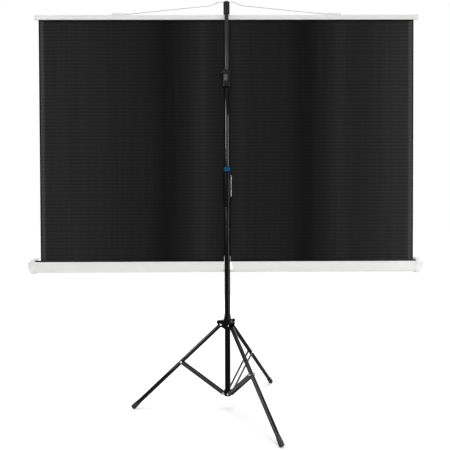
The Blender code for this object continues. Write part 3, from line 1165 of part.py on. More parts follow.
def main():
    middle, upper = make_mast_tubes()
    make_lower_hub()
    make_collar()
    for number, azimuth in enumerate(LEG_AZIMUTHS, 1):
        make_leg(number, azimuth)
        make_brace(number, azimuth)
    make_grip()
    make_upper_lock(middle)
    make_hook_cap(upper)
    case_pivot = parent_empty("case_pivot", MAST @ Matrix.Translation((0, CASE_NEAR, CASE_MIDDLE_Z)))
    make_case(case_pivot)
    make_roller_bearings(make_roller(), case_pivot)
    bar_slide = parent_empty("bar_slide", MAST @ Matrix.Translation((0, SHEET_Y, BAR_MIDDLE_Z)))
    make_sheet(bar_slide)
    make_top_bar(bar_slide)
    make_bail()
    smooth_round_pieces()


main()
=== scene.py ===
"""Looks of a projection screen on a folding tripod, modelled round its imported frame.

The file is laid out as an add-on: each group of pieces has an operator, and the sizes and colours that
someone would change are properties, listed in the sidebar. Lengths are in metres, +Z is up, and the
frame's own boxes and joints say where everything goes.
"""
import json
import math

import bmesh
import bpy
from mathutils import Matrix, Vector


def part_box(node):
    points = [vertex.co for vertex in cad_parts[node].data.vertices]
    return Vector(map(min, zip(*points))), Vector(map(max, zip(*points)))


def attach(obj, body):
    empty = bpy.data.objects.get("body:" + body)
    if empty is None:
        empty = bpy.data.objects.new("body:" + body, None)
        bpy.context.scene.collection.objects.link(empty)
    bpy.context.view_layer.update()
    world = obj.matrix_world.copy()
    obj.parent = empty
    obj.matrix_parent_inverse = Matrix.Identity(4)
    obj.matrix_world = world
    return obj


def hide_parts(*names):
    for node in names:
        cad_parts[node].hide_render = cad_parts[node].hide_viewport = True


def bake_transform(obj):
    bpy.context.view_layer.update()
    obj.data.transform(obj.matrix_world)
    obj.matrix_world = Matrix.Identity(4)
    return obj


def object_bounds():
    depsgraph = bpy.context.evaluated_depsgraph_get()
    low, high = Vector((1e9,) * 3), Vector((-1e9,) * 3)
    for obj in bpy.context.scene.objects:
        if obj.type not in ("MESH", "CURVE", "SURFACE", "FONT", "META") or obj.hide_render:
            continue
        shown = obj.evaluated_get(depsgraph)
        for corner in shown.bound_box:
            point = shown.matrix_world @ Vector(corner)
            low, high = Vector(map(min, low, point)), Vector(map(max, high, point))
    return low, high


bl_info = {
    "name": "Tripod projection screen",
    "version": (1, 0, 0),
    "blender": (4, 5, 0),
    "location": "3D View > Sidebar > Screen",
    "description": "Models and finishes a tripod projection screen round its packed frame",
    "category": "Object",
}

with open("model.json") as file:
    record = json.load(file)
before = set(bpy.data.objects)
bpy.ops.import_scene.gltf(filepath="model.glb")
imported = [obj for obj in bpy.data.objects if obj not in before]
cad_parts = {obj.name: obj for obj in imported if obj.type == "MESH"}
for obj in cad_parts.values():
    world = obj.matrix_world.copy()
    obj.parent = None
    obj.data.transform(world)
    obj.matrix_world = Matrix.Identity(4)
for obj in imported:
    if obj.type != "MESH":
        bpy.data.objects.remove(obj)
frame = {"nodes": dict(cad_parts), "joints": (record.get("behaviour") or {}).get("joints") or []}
CAD_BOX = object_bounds()
JOINTS = {joint["name"]: joint for joint in frame["joints"]}
LEGS = (1, 2, 3)

# Facets and rounding shared by the modelled pieces
TUBE_STEPS = 64
PIN_STEPS = 32
FINE_EDGE = 0.0004
SMOOTH_ANGLE = math.radians(38)
WELD = 0.00001


def box_middle(node):
    lowest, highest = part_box(node)
    return (lowest + highest) / 2


def half_width(node):
    lowest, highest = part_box(node)
    return (highest.x - lowest.x) / 2


MAST = Matrix.Translation((box_middle("lower_tube").x, box_middle("lower_tube").y, 0))
UPRIGHT = Matrix.Rotation(math.pi / 2, 4, "X")
ALONG_Y = Matrix.Rotation(-math.pi / 2, 4, "X")
SECTION = Matrix(((0, 0, 1, 0), (1, 0, 0, 0), (0, 1, 0, 0), (0, 0, 0, 1)))

# Fits and sizes that several pieces share
FIT = 0.0003
OVERRUN = 0.0030
MAST_RADIUS = half_width("lower_tube")
MIDDLE_RADIUS = half_width("middle_tube")
UPPER_RADIUS = half_width("upper_tube")
HUB_WALL = 0.0032
HUB_FLOOR = 0.0041
LUG_ROOT = 0.0128
LUG_END = 0.0062
LUG_HALF_WIDTH = 0.0110
PIN_RISE = 0.0015
CHEEK_END = 0.0100
CHEEK_INNER = 0.0105
HOOD_CLEAR = 0.01465
HOOD_THICKNESS = 0.0050
HOOD_REACH = 0.0142
HOOD_END = 0.0068
HOOD_RISE = 0.0040
KNOB_LENGTH = 0.0105
KNOB_RADIUS = 0.0075
STRIP_WIDTH = 0.0145
STRIP_THICKNESS = 0.0020
LEVER_BACK = 0.0166
BUSHING_SKIRT = 0.0110
CAP_HEIGHT = 0.0610
CAP_RADIUS = 0.0152
WIRE_RADIUS = 0.0016
BAR_WALL = 0.0014
SLOT_IN_BAR = 0.0017
CASE_WALL = 0.0015
THREAD_PITCH = 0.0014
BAR_PITCH = 0.0170
VIEWING_SIDE = "viewing_side"
FLAT_PLACE = "flat_place"
# Painted shade and light on the hanging sheet, standing in for how the lamps fall where it bows: place along
# X, half width, lighter or darker
PAINTED_FOLD_SHADES = ((-0.830, 0.250, 0.50), (-0.295, 0.075, -0.40), (-0.115, 0.045, 0.34), (0.055, 0.060, 0.25),
         (0.396, 0.075, -0.40), (0.580, 0.050, 0.34), (0.940, 0.230, 0.90))
ROLL_CLOTH = 0.00042
ROLL_TURNS = 5.8
HEM_RISE = 0.0002
# Depth and length of each of the slack sheet's waves
WAVES = ((0.0011, 0.335), (0.0007, 0.212))
SHEET_COLUMNS = 374
SHEET_ROWS = 124

# Sizes of single pieces
PIN_RADIUS = 0.0030
PIN_HEAD = 0.0050
STUD_RADIUS = 0.0030
RECESS_TOP = 0.0020
COLLAR_WALL = 0.0048
COLLAR_NECK_WALL = 0.0014
COLLAR_NECK_HEIGHT = 0.0270
TREAD_RADIUS = 0.0125
TREAD_ROUNDING = 0.0040
FOOT_GROOVES = (0.0085, 0.0120, 0.0155)
RIVET_RADIUS = 0.0050
RIVET_RISE = 0.0020
GRIP_RADIUS = 0.0180
GRIP_NECK_RADIUS = 0.0155
GRIP_NECK_LENGTH = 0.0320
GRIP_GROOVES = (0.0180, 0.0150, 0.0120, 0.0090, 0.0060)
EAR_RADIUS = 0.0050
EAR_HALF_WIDTH = 0.0092
BUTTON_GROOVES = (-0.0060, -0.0030, 0, 0.0030, 0.0060)
PLATE_RIVETS = ((-0.0185, 0.0105), (0.0185, 0.0105), (-0.0185, -0.0105), (0.0185, -0.0105))

# Stage: camera, floor and cards
CAMERA_PLACE = (-0.0180, -2.4967, 0.9604)
CAMERA_PITCH = 0.0164
CAMERA_ROLL = 0.0034
CAMERA_TURN = -0.0061
FLOOR_SIZE = 60
FLOOR_GLOW = 3.15
FLOOR_GLOW_SHARE = 0.12
CARD_OFFSET = 1.45
CARD_FRONT = -0.85
CARD_WIDTH = 0.60
# Name, side, middle height, length and share of the set power of each upright card
CARDS = (("right", 1, 1.00, 2.2, 1.0), ("left", -1, 1.95, 0.9, 0.7))


def box_in(node, place):
    """Lowest and highest corner of a node, measured in a turned frame of its own."""
    inverse = place.inverted()
    points = [inverse @ vertex.co for vertex in frame["nodes"][node].data.vertices]
    return Vector(map(min, *points)), Vector(map(max, *points))


def axes_frame(origin, up, across):
    """A frame at origin whose Z axis is up and whose Y axis is across."""
    up = up.normalized()
    across = across.normalized()
    forward = across.cross(up)
    turn = Matrix((forward, across, up)).transposed().to_4x4()
    return Matrix.Translation(origin) @ turn


def out_frame(number):
    """A frame on the mast's axis whose X axis points out along a leg."""
    pivot = MAST.inverted() @ Vector(JOINTS[f"leg_fold_{number}"]["pos_m"])
    return Matrix.Rotation(math.atan2(pivot.y, pivot.x), 4, "Z")


def leg_pivot(number):
    """Where a leg turns: x out from the mast's axis, and z."""
    return (MAST @ out_frame(number)).inverted() @ Vector(JOINTS[f"leg_fold_{number}"]["pos_m"])


def brace_pivot(number):
    """Where a brace turns on the hub: x out from the mast's axis, and z."""
    return (MAST @ out_frame(number)).inverted() @ Vector(JOINTS[f"brace_fold_{number}"]["pos_m"])


def leg_frame(number):
    """A leg's frame: its pivot, Z up the leg and Y along the pivot pin."""
    joint = JOINTS[f"leg_fold_{number}"]
    pivot = Vector(joint["pos_m"])
    return axes_frame(pivot, pivot - box_middle(f"brace_bush_{number}"), Vector(joint["axis"]))


def brace_frame(number):
    """A brace's frame: its pivot on the hub, Z up the brace and Y along its pin."""
    joint = JOINTS[f"brace_fold_{number}"]
    pivot = Vector(joint["pos_m"])
    return axes_frame(pivot, box_middle(f"brace_bush_{number}") - pivot, Vector(joint["axis"]))


class SheetSettings(bpy.types.PropertyGroup):
    """The sheet between the case and the top bar."""
    backing: bpy.props.FloatVectorProperty(
        name="Backing", description="Colour of the black backing cloth", subtype="COLOR",
        default=(0.0145, 0.0145, 0.0148), min=0, max=1)
    face: bpy.props.FloatVectorProperty(
        name="Viewing side", description="Colour of the matt white viewing side", subtype="COLOR",
        default=(0.83, 0.83, 0.82), min=0, max=1)
    hem: bpy.props.FloatProperty(
        name="Side hem", description="Width of the hem along each upright edge", default=0.020, unit="LENGTH")
    border: bpy.props.FloatProperty(
        name="Black border", description="Width of the black border on the viewing side", default=0.030,
        unit="LENGTH")
    thickness: bpy.props.FloatProperty(
        name="Thickness", description="Thickness of the cloth", default=0.0005, unit="LENGTH")


class FinishSettings(bpy.types.PropertyGroup):
    """Colours of the painted, moulded and plated pieces."""
    gloss_black: bpy.props.FloatVectorProperty(
        name="Gloss black", description="Paint of the legs and the two inner mast tubes", subtype="COLOR",
        default=(0.0010, 0.0010, 0.0011), min=0, max=1)
    satin_black: bpy.props.FloatVectorProperty(
        name="Satin black", description="Paint of the upper mast tube", subtype="COLOR",
        default=(0.030, 0.030, 0.031), min=0, max=1)
    brown_black: bpy.props.FloatVectorProperty(
        name="Brown black", description="Paint of the lower mast tube", subtype="COLOR",
        default=(0.0036, 0.0025, 0.0023), min=0, max=1)
    black_plastic: bpy.props.FloatVectorProperty(
        name="Black plastic", description="Hub, collar, grip, lock and hook cap", subtype="COLOR",
        default=(0.0036, 0.0036, 0.0039), min=0, max=1)
    # Colour of the painted highlight on the crests of the hook cap's ribs
    rib_highlight: bpy.props.FloatVectorProperty(
        name="Rib", description="Worn crests of the hook cap's ribs", subtype="COLOR",
        default=(0.052, 0.052, 0.053), min=0, max=1)
    lock_plastic: bpy.props.FloatVectorProperty(
        name="Lock plastic", description="Housing of the upper lock", subtype="COLOR",
        default=(0.0110, 0.0110, 0.0115), min=0, max=1)
    wire: bpy.props.FloatVectorProperty(
        name="Wire", description="Dull steel of the wire bail", subtype="COLOR",
        default=(0.26, 0.26, 0.26), min=0, max=1)
    grey_plastic: bpy.props.FloatVectorProperty(
        name="Grey plastic", description="Push button of the upper lock", subtype="COLOR",
        default=(0.055, 0.055, 0.058), min=0, max=1)
    blue_plastic: bpy.props.FloatVectorProperty(
        name="Blue plastic", description="Bushing at the mouth of the lower tube", subtype="COLOR",
        default=(0.005, 0.070, 0.165), min=0, max=1)
    # Painted shade: the colour of the bushing's lower part, standing in for its shadowed underside
    bushing_shade: bpy.props.FloatVectorProperty(
        name="Navy plastic", description="Lower part of that bushing", subtype="COLOR",
        default=(0.0010, 0.0030, 0.0190), min=0, max=1)
    white_paint: bpy.props.FloatVectorProperty(
        name="White paint", description="Case and top bar", subtype="COLOR",
        default=(0.80, 0.80, 0.79), min=0, max=1)
    white_plastic: bpy.props.FloatVectorProperty(
        name="White plastic", description="End caps and the wire's clips", subtype="COLOR",
        default=(0.80, 0.80, 0.795), min=0, max=1)


class StageSettings(bpy.types.PropertyGroup):
    """Floor, light and camera."""
    ambient: bpy.props.FloatProperty(
        name="Ambient", description="Strength of the even light from all round", default=0.36, min=0)
    key: bpy.props.FloatProperty(
        name="Key light", description="Power of the large lamp above the camera", default=48, unit="POWER")
    cards: bpy.props.FloatProperty(
        name="Reflection cards", default=60, unit="POWER",
        description="Power a metre of the two upright cards that glossy paint reflects")
    leg_card: bpy.props.FloatProperty(
        name="Leg card", description="Power of the card high on the left that the legs reflect", default=72,
        unit="POWER")
    sun: bpy.props.FloatProperty(
        name="Overhead sun", description="Strength of the soft light from straight above", default=1.5, min=0)
    rim: bpy.props.FloatProperty(
        name="Back light", description="Power of the lamp behind the screen", default=40, unit="POWER")
    lens: bpy.props.FloatProperty(
        name="Lens", description="Focal length for a 36 mm wide sensor", default=0.04039, unit="LENGTH")


class Value:
    """A node's output with arithmetic: an expression on it adds Math nodes to its material."""

    def __init__(self, finish, output):
        self.finish = finish
        self.output = output

    def __add__(self, other):
        return self.finish.math("ADD", self, other)

    def __radd__(self, other):
        return self.finish.math("ADD", other, self)

    def __sub__(self, other):
        return self.finish.math("SUBTRACT", self, other)

    def __rsub__(self, other):
        return self.finish.math("SUBTRACT", other, self)

    def __mul__(self, other):
        return self.finish.math("MULTIPLY", self, other)

    def __rmul__(self, other):
        return self.finish.math("MULTIPLY", other, self)

    def __truediv__(self, other):
        return self.finish.math("DIVIDE", self, other)

    def __pow__(self, other):
        return self.finish.math("POWER", self, other)


class Finish:
    """A procedural material being put together round its Principled shader."""

    def __init__(self, name, colour, roughness, metallic=0.0, **constants):
        self.material = bpy.data.materials.new(name)
        self.material.use_nodes = True
        self.tree = self.material.node_tree
        self.shader = self.tree.nodes["Principled BSDF"]
        self.colour = (*colour, 1.0)
        self.feed("Base Color", self.colour)
        self.feed("Roughness", roughness)
        self.feed("Metallic", metallic)
        for socket, value in constants.items():
            self.feed(socket.replace("_", " "), value)

    def feed(self, socket, value):
        """Give the shader's socket a constant or the link of a value."""
        self.give(self.shader.inputs[socket], value)

    def give(self, socket, value):
        if isinstance(value, Value):
            self.tree.links.new(value.output, socket)
        else:
            socket.default_value = value

    def node(self, kind, settings=(), sockets=(), output=0):
        """Add a node of any type: its settings first, then the values or links of its sockets."""
        made = self.tree.nodes.new("ShaderNode" + kind)
        for name, value in dict(settings).items():
            setattr(made, name, value)
        for name, value in dict(sockets).items():
            self.give(made.inputs[name], value)
        return Value(self, made.outputs[output])

    def math(self, operation, *values):
        return self.node("Math", {"operation": operation}, enumerate(values))

    def place(self, scale=(1, 1, 1)):
        """Object coordinates, stretched by a scale."""
        where = self.node("TexCoord", output="Object")
        return self.node("Mapping", {}, {"Vector": where, "Scale": scale})

    def split(self, vector):
        """The three parts of a vector as values."""
        parts = self.tree.nodes.new("ShaderNodeSeparateXYZ")
        self.give(parts.inputs[0], vector)
        return [Value(self, output) for output in parts.outputs]

    def axes(self):
        """The three object coordinates as values."""
        return self.split(self.node("TexCoord", output="Object"))

    def noise(self, size, detail=2.0, scale=(1, 1, 1), roughness=0.5):
        """Noise from 0 to 1 whose grain is about size metres."""
        return self.node("TexNoise", {}, {"Vector": self.place(scale), "Scale": 1 / size, "Detail": detail,
                                          "Roughness": roughness})

    def ramp(self, value, low, high):
        """A smooth step from 0 at low to 1 at high."""
        return self.node("MapRange", {"interpolation_type": "SMOOTHSTEP"},
                         {"Value": value, "From Min": low, "From Max": high})

    def blend(self, share, first, second):
        """A colour that goes from first to second with share."""
        return self.node("Mix", {"data_type": "RGBA"}, {0: share, 6: first, 7: second}, output=2)

    def tinted(self, share, strength):
        """The finish's own colour, darker at share 0 and lighter at share 1."""
        dark = (*(c * (1 - strength) for c in self.colour[:3]), 1)
        light = (*(min(1, c * (1 + strength)) for c in self.colour[:3]), 1)
        return self.blend(share, dark, light)

    def bump(self, height, depth):
        """Feeds Normal from a height of 0 to 1 that is depth metres deep."""
        self.feed("Normal", self.node("Bump", {}, {"Height": height, "Distance": depth, "Strength": 1.0}))


def painted_tube(name, colour, roughness, streak, shine=0.30):
    """Paint drawn along a tube: faint upright streaks, fine orange peel and a little dust."""
    paint = Finish(name, colour, roughness, Specular_IOR_Level=shine)
    streaks = paint.noise(0.004, 3, (1, 1, 0.04))
    dust = paint.noise(0.060, 4)
    paint.feed("Base Color", paint.tinted(streaks * 0.6 + dust * 0.4, streak))
    paint.feed("Roughness", roughness + paint.ramp(dust, 0.45, 0.75) * 0.10)
    paint.bump(paint.noise(0.0016, 2), 0.00002)
    return paint.material


def moulded(name, colour, roughness, grain=0.0008, depth=0.00004, shine=0.15):
    """Moulded plastic with a spark-eroded grain and slightly uneven sheen."""
    plastic = Finish(name, colour, roughness, Specular_IOR_Level=shine)
    cloud = plastic.noise(0.030, 3)
    plastic.feed("Base Color", plastic.tinted(cloud, 0.12))
    plastic.feed("Roughness", plastic.noise(0.010, 2) * 0.16 + (roughness - 0.08))
    plastic.bump(plastic.noise(grain, 2), depth)
    return plastic.material


def ribbed_plastic(name, colour, crest_highlight):
    """Moulded plastic whose rib crests carry a painted highlight, paler than the grooves between them."""
    plastic = Finish(name, colour, 0.40, Specular_IOR_Level=0.05)
    along, across, _ = plastic.axes()
    off_x = along - MAST.translation.x
    off_y = across - MAST.translation.y
    from_axis = plastic.math("SQRT", off_x ** 2.0 + off_y ** 2.0)
    # Painted highlight: the crests, out at the cap's radius, paler than the grooves
    painted_highlight = plastic.ramp(from_axis, CAP_RADIUS - 0.0005, CAP_RADIUS - 0.0001)
    uneven = plastic.noise(0.004, 3) * 0.4 + 0.7
    plastic.feed("Base Color", plastic.blend(painted_highlight * uneven, plastic.colour, (*crest_highlight, 1)))
    plastic.bump(plastic.noise(0.0008, 2), 0.00004)
    return plastic.material


def bushing_plastic(name, colour, shade_colour):
    """Blue plastic with painted shade: navy below the rim, standing in for the shadow on the bushing's
    underside.
    """
    plastic = Finish(name, colour, 0.50, Specular_IOR_Level=0.02)
    height = plastic.axes()[2]
    lowest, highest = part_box("lock_bushing")
    # Painted shade below this edge
    edge = lowest.z + 0.12 * (highest.z - lowest.z)
    above_edge = plastic.ramp(height, edge - 0.0008, edge + 0.0008)
    rim = plastic.tinted(plastic.noise(0.006, 3), 0.12)
    plastic.feed("Base Color", plastic.blend(above_edge, (*shade_colour, 1), rim))
    plastic.bump(plastic.noise(0.0008, 2), 0.00004)
    return plastic.material


def white_coat(name, colour, roughness):
    """Powder coat on rolled steel: orange peel, faint rolling lines and light handling marks."""
    coat = Finish(name, colour, roughness, Specular_IOR_Level=0.06)
    cloud = coat.noise(0.090, 4)
    lines = coat.noise(0.003, 2, (0.02, 1, 1))
    coat.feed("Base Color", coat.tinted(cloud * 0.6 + lines * 0.4, 0.035))
    coat.feed("Roughness", roughness + coat.ramp(cloud, 0.4, 0.8) * 0.10)
    coat.bump(coat.noise(0.0022, 2), 0.00004)
    return coat.material


def bare_metal(name, colour, roughness, brush=(1, 1, 1), grain=0.0012):
    """Plated or brushed metal, with the grain drawn out along the brushing."""
    metal = Finish(name, colour, roughness, 1.0)
    scratches = metal.noise(grain, 3, brush)
    cloud = metal.noise(0.020, 3)
    metal.feed("Base Color", metal.tinted(cloud, 0.10))
    metal.feed("Roughness", roughness + (scratches - 0.5) * 0.20)
    metal.bump(scratches, 0.00002)
    return metal.material


def rubber(name, colour):
    sole = Finish(name, colour, 0.75, Specular_IOR_Level=0.25)
    worn = sole.noise(0.008, 4)
    sole.feed("Base Color", sole.tinted(sole.ramp(worn, 0.35, 0.75), 0.35))
    sole.feed("Roughness", worn * 0.2 + 0.65)
    sole.bump(sole.noise(0.0010, 2), 0.00008)
    return sole.material


def bump_at(finish, where, centre, width):
    """A soft bump of height 1 about a place along an axis."""
    away = (where - centre) / width
    return finish.math("EXPONENT", away * away * -1.0)


def woven(cloth, along, height):
    """The fine weave, as relief."""
    weft = cloth.math("SINE", height * (2 * math.pi / THREAD_PITCH))
    warp = cloth.math("SINE", along * (2 * math.pi / THREAD_PITCH))
    cloth.bump(weft * warp * 0.5 + 0.5, 0.00004)


def backing_cloth(name, colour):
    """Plain black backing, for the cloth on the roller."""
    cloth = Finish(name, colour, 0.80, Specular_IOR_Level=0.06)
    along, _, height = cloth.axes()
    cloth.feed("Base Color", cloth.tinted(cloth.noise(0.20, 2), 0.10))
    woven(cloth, along, height)
    return cloth.material


def sheet_cloth(name, backing, face, hem, border):
    """Black backing and matt white viewing side of the hanging sheet, told apart by a point attribute."""
    cloth = Finish(name, backing, 0.80, Specular_IOR_Level=0.0)
    lowest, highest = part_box("screen_fabric")
    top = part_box("top_bar")[0].z
    along, _, height = cloth.split(cloth.node("Attribute", {"attribute_name": FLAT_PLACE}, output="Vector"))
    from_edge = cloth.math("MINIMUM", along - lowest.x, highest.x - along)
    shade = 1.0
    # Painted shade and light of the sheet's bows, put into the backing's colour
    for centre, width, amount in PAINTED_FOLD_SHADES:
        shade = bump_at(cloth, along, centre, width) * amount + shade
    bars = cloth.math("SINE", height * (2 * math.pi / BAR_PITCH) + cloth.noise(0.30, 1) * 4)
    streaks = cloth.noise(0.020, 3, (1, 0, 0.02))
    shade = shade * (bars * 0.12 + 0.76 + streaks * 0.48)
    shade = shade * (cloth.ramp(from_edge, hem + 0.0100, hem - 0.0020) * 1.25 + 1.0)
    shade = shade * (cloth.ramp(from_edge, 0.0050, 0.0080) * 0.85 + 0.15)
    # Painted shade: the backing darker just under the top bar
    shade = shade * (cloth.ramp(top - height, 0.0060, 0.0110) * 0.70 + 0.30)
    dark = cloth.node("VectorMath", {"operation": "SCALE"}, {0: tuple(backing), "Scale": shade})
    inside = cloth.math("MINIMUM", from_edge, cloth.math("MINIMUM", top - height, height - lowest.z - border))
    light = cloth.blend(cloth.ramp(inside, border - 0.0005, border + 0.0005), (*backing, 1), (*face, 1))
    side = cloth.node("Attribute", {"attribute_name": VIEWING_SIDE}, output="Fac")
    cloth.feed("Base Color", cloth.blend(side, dark, light))
    woven(cloth, along, height)
    return cloth.material


def make_finishes():
    """Every material, by the record's slot."""
    chosen = bpy.context.scene.screen_finishes
    sheet = bpy.context.scene.screen_sheet
    return {
        "brown_black_tube": painted_tube("brown_black_paint", chosen.brown_black, 0.20, 0.30, 0.04),
        "gloss_black_tube": painted_tube("gloss_black_paint", chosen.gloss_black, 0.08, 0.20, 0.12),
        "black_plastic": moulded("black_plastic", chosen.black_plastic, 0.38, shine=0.03),
        "grey_plastic": moulded("grey_plastic", chosen.grey_plastic, 0.40, shine=0.3),
        "blue_plastic": moulded("blue_plastic", chosen.blue_plastic, 0.35, shine=0.4),
        "white_paint": white_coat("white_powder_coat", chosen.white_paint, 0.38),
        "white_plastic": moulded("white_plastic", chosen.white_plastic, 0.42, shine=0.06),
        "grey_strip": painted_tube("strip_paint", (0.016, 0.016, 0.017), 0.30, 0.25, 0.25),
        "zinc_plate": bare_metal("zinc_plate", (0.56, 0.56, 0.55), 0.32),
        "lever_metal": bare_metal("lever_chrome", (0.14, 0.14, 0.14), 0.34, (1, 1, 0.05)),
        "pin_steel": bare_metal("pin_steel", (0.50, 0.50, 0.50), 0.32),
        "roller_aluminium": bare_metal("roller_aluminium", (0.70, 0.70, 0.70), 0.38, (0.05, 1, 1)),
        "rubber": rubber("foot_rubber", (0.012, 0.012, 0.012)),
        "backing_cloth": backing_cloth("backing_cloth", sheet.backing),
        "satin_black_tube": painted_tube("satin_black_paint", chosen.satin_black, 0.30, 0.20, 0.10),
        "ribbed_cap": ribbed_plastic("ribbed_plastic", chosen.black_plastic, chosen.rib_highlight),
        "shaded_bushing": bushing_plastic("bushing_plastic", chosen.blue_plastic, chosen.bushing_shade),
        "lock_plastic": moulded("lock_plastic", chosen.lock_plastic, 0.40, shine=0.08),
        "wire_steel": bare_metal("wire_steel", chosen.wire, 0.40),
        "sheet_cloth": sheet_cloth("sheet_cloth", sheet.backing, sheet.face, sheet.hem, sheet.border),
    }


FINISHES = {}
NODE_SLOTS = {
    "brown_black_tube": ("lower_tube",),
    "gloss_black_tube": ("middle_tube", "upper_tube", *(f"leg_tube_{n}" for n in LEGS)),
    "black_plastic": ("lower_hub", "leg_collar", "collar_knob", "grip_body", "upper_lock", "hook_cap",
                      "middle_sleeve", "upper_sleeve", "slot_lip_near", "slot_lip_far", "roller_plug_left",
                      "roller_plug_right"),
    "grey_plastic": ("lock_button",),
    "blue_plastic": ("lock_bushing",),
    "white_paint": ("case_shell", "top_bar"),
    "white_plastic": ("end_cap_left", "end_cap_right", "bar_cap_left", "bar_cap_right", "bail_clip_left",
                      "bail_clip_right"),
    "grey_strip": tuple(f"brace_strip_{n}{side}" for n in LEGS for side in "ab"),
    "zinc_plate": ("pole_bracket", "case_plate", "bail_wire"),
    "lever_metal": ("lock_lever",),
    "pin_steel": ("lever_pin", "pivot_bolt", "spring_arbor", "idle_pin", "roller_spring",
                  *(f"{kind}_{n}" for kind in ("brace_pin", "leg_pin", "brace_bush") for n in LEGS)),
    "roller_aluminium": ("roller_tube",),
    "rubber": ("lock_shoe", *(f"leg_foot_{n}" for n in LEGS)),
    "backing_cloth": ("screen_fabric", "fabric_roll"),
}
SLOT_OF = {node: slot for slot, nodes in NODE_SLOTS.items() for node in nodes}


def start():
    """Leave every object deselected, ready for a new primitive."""
    bpy.ops.object.select_all(action="DESELECT")


def take(obj):
    """Make an object the only one selected, and active."""
    start()
    obj.select_set(True)
    bpy.context.view_layer.objects.active = obj


def pick(kind, test):
    """In edit mode, select the vertices, edges or faces that pass a test."""
    bpy.ops.mesh.select_mode(type=kind)
    bpy.ops.mesh.select_all(action="DESELECT")
    mesh = bpy.context.edit_object.data
    solid = bmesh.from_edit_mesh(mesh)
    for item in {"VERT": solid.verts, "EDGE": solid.edges, "FACE": solid.faces}[kind]:
        if test(item):
            item.select_set(True)
    bmesh.update_edit_mesh(mesh)


def turned(profile, steps=TUBE_STEPS, ring=False):
    """A turned piece: a circle at the profile's first (radius, height), extruded through the rest."""
    start()
    radius, height = profile[0]
    bpy.ops.mesh.primitive_circle_add(vertices=steps, radius=radius, fill_type="NOTHING" if ring else "NGON")
    bpy.ops.object.mode_set(mode="EDIT")
    bpy.ops.mesh.select_all(action="SELECT")
    bpy.ops.transform.translate(value=(0, 0, height))
    rest = profile[1:] + (profile[:1] if ring else [])
    for next_radius, next_height in rest:
        rise = next_height - height
        bpy.ops.mesh.extrude_region_move(TRANSFORM_OT_translate={"value": (0, 0, rise)})
        share = next_radius / radius
        bpy.ops.transform.resize(value=(share, share, 1), center_override=(0, 0, next_height))
        radius, height = next_radius, next_height
    bpy.ops.mesh.select_all(action="SELECT")
    if ring:
        bpy.ops.mesh.remove_doubles(threshold=WELD)
    bpy.ops.mesh.normals_make_consistent(inside=False)
    bpy.ops.object.mode_set(mode="OBJECT")
    return bpy.context.object


def block(low, high):
    """A box between two corners, its place in its mesh."""
    start()
    low = Vector(low)
    high = Vector(high)
    bpy.ops.mesh.primitive_cube_add(size=1, location=(low + high) / 2, scale=high - low)
    bpy.ops.object.transform_apply(location=True, rotation=True, scale=True)
    return bpy.context.object


def round_edges(obj, test, radius, segments=8):
    """Round the edges that pass a test, as with the bevel tool."""
    take(obj)
    bpy.ops.object.mode_set(mode="EDIT")
    pick("EDGE", test)
    bpy.ops.mesh.bevel(offset=radius, segments=segments, affect="EDGES")
    bpy.ops.object.mode_set(mode="OBJECT")
    return obj


def apply_modifier(obj, kind, **settings):
    """Add a modifier, set it and apply it."""
    take(obj)
    modifier = obj.modifiers.new(kind.lower(), kind)
    for name, value in settings.items():
        setattr(modifier, name, value)
    bpy.ops.object.modifier_apply(modifier=modifier.name)
    return obj


def soften(obj, width=FINE_EDGE, segments=2):
    """Break every sharp edge with a small bevel."""
    return apply_modifier(obj, "BEVEL", width=width, segments=segments, limit_method="ANGLE",
                          angle_limit=math.radians(35), miter_outer="MITER_ARC")


def put(obj, place):
    """Move a piece to its place, which goes into its mesh."""
    obj.matrix_world = place
    take(obj)
    bpy.ops.object.transform_apply(location=True, rotation=True, scale=True)
    return obj


def copy_of(obj):
    """A copy with a mesh of its own."""
    take(obj)
    bpy.ops.object.duplicate(linked=False)
    return bpy.context.object


def chain(points, height=0.0, closed=True):
    """Draw a line through (x, y) points in edit mode, a point at a time, and leave all of it selected."""
    start()
    bpy.ops.mesh.primitive_plane_add(size=1)
    bpy.ops.object.mode_set(mode="EDIT")
    bpy.ops.mesh.select_mode(type="VERT")
    bpy.ops.mesh.select_all(action="SELECT")
    bpy.ops.mesh.merge(type="CENTER")
    here = Vector((*points[0], height))
    bpy.ops.transform.translate(value=here)
    for point in points[1:] + points[:closed]:
        there = Vector((*point, height))
        bpy.ops.mesh.extrude_region_move(TRANSFORM_OT_translate={"value": there - here})
        here = there
    bpy.ops.mesh.select_all(action="SELECT")
    if closed:
        bpy.ops.mesh.remove_doubles(threshold=WELD)


def pull(rise):
    """Pull what is selected up by a rise, turn its faces outwards and leave edit mode."""
    bpy.ops.mesh.extrude_region_move(TRANSFORM_OT_translate={"value": (0, 0, rise)})
    bpy.ops.mesh.select_all(action="SELECT")
    bpy.ops.mesh.normals_make_consistent(inside=False)
    bpy.ops.object.mode_set(mode="OBJECT")
    return bpy.context.object


def drawn(points, low, high):
    """A solid whose outline is drawn through (x, y) points, filled and pulled from low to high."""
    chain(points, low)
    bpy.ops.mesh.edge_face_add()
    return pull(high - low)


def arc(centre, radius, first, last, steps=8):
    """Points of an arc about (x, y), from one angle in degrees to another."""
    turns = [math.radians(first + (last - first) * i / steps) for i in range(steps + 1)]
    return [(centre[0] + radius * math.cos(turn), centre[1] + radius * math.sin(turn)) for turn in turns]


def rounded(left, right, low, high, radius):
    """A rounded rectangle's outline."""
    corners = ((left + radius, low + radius, 180), (right - radius, low + radius, 270),
               (right - radius, high - radius, 0), (left + radius, high - radius, 90))
    return [point for x, y, first in corners for point in arc((x, y), radius, first, first + 90)]


def groove(radius, height, depth, half_mouth, half_floor):
    """Profile points of a groove round a turned piece, from its lower edge to its upper one."""
    return [(radius, height - half_mouth), (radius - depth, height - half_floor),
            (radius - depth, height + half_floor), (radius, height + half_mouth)]


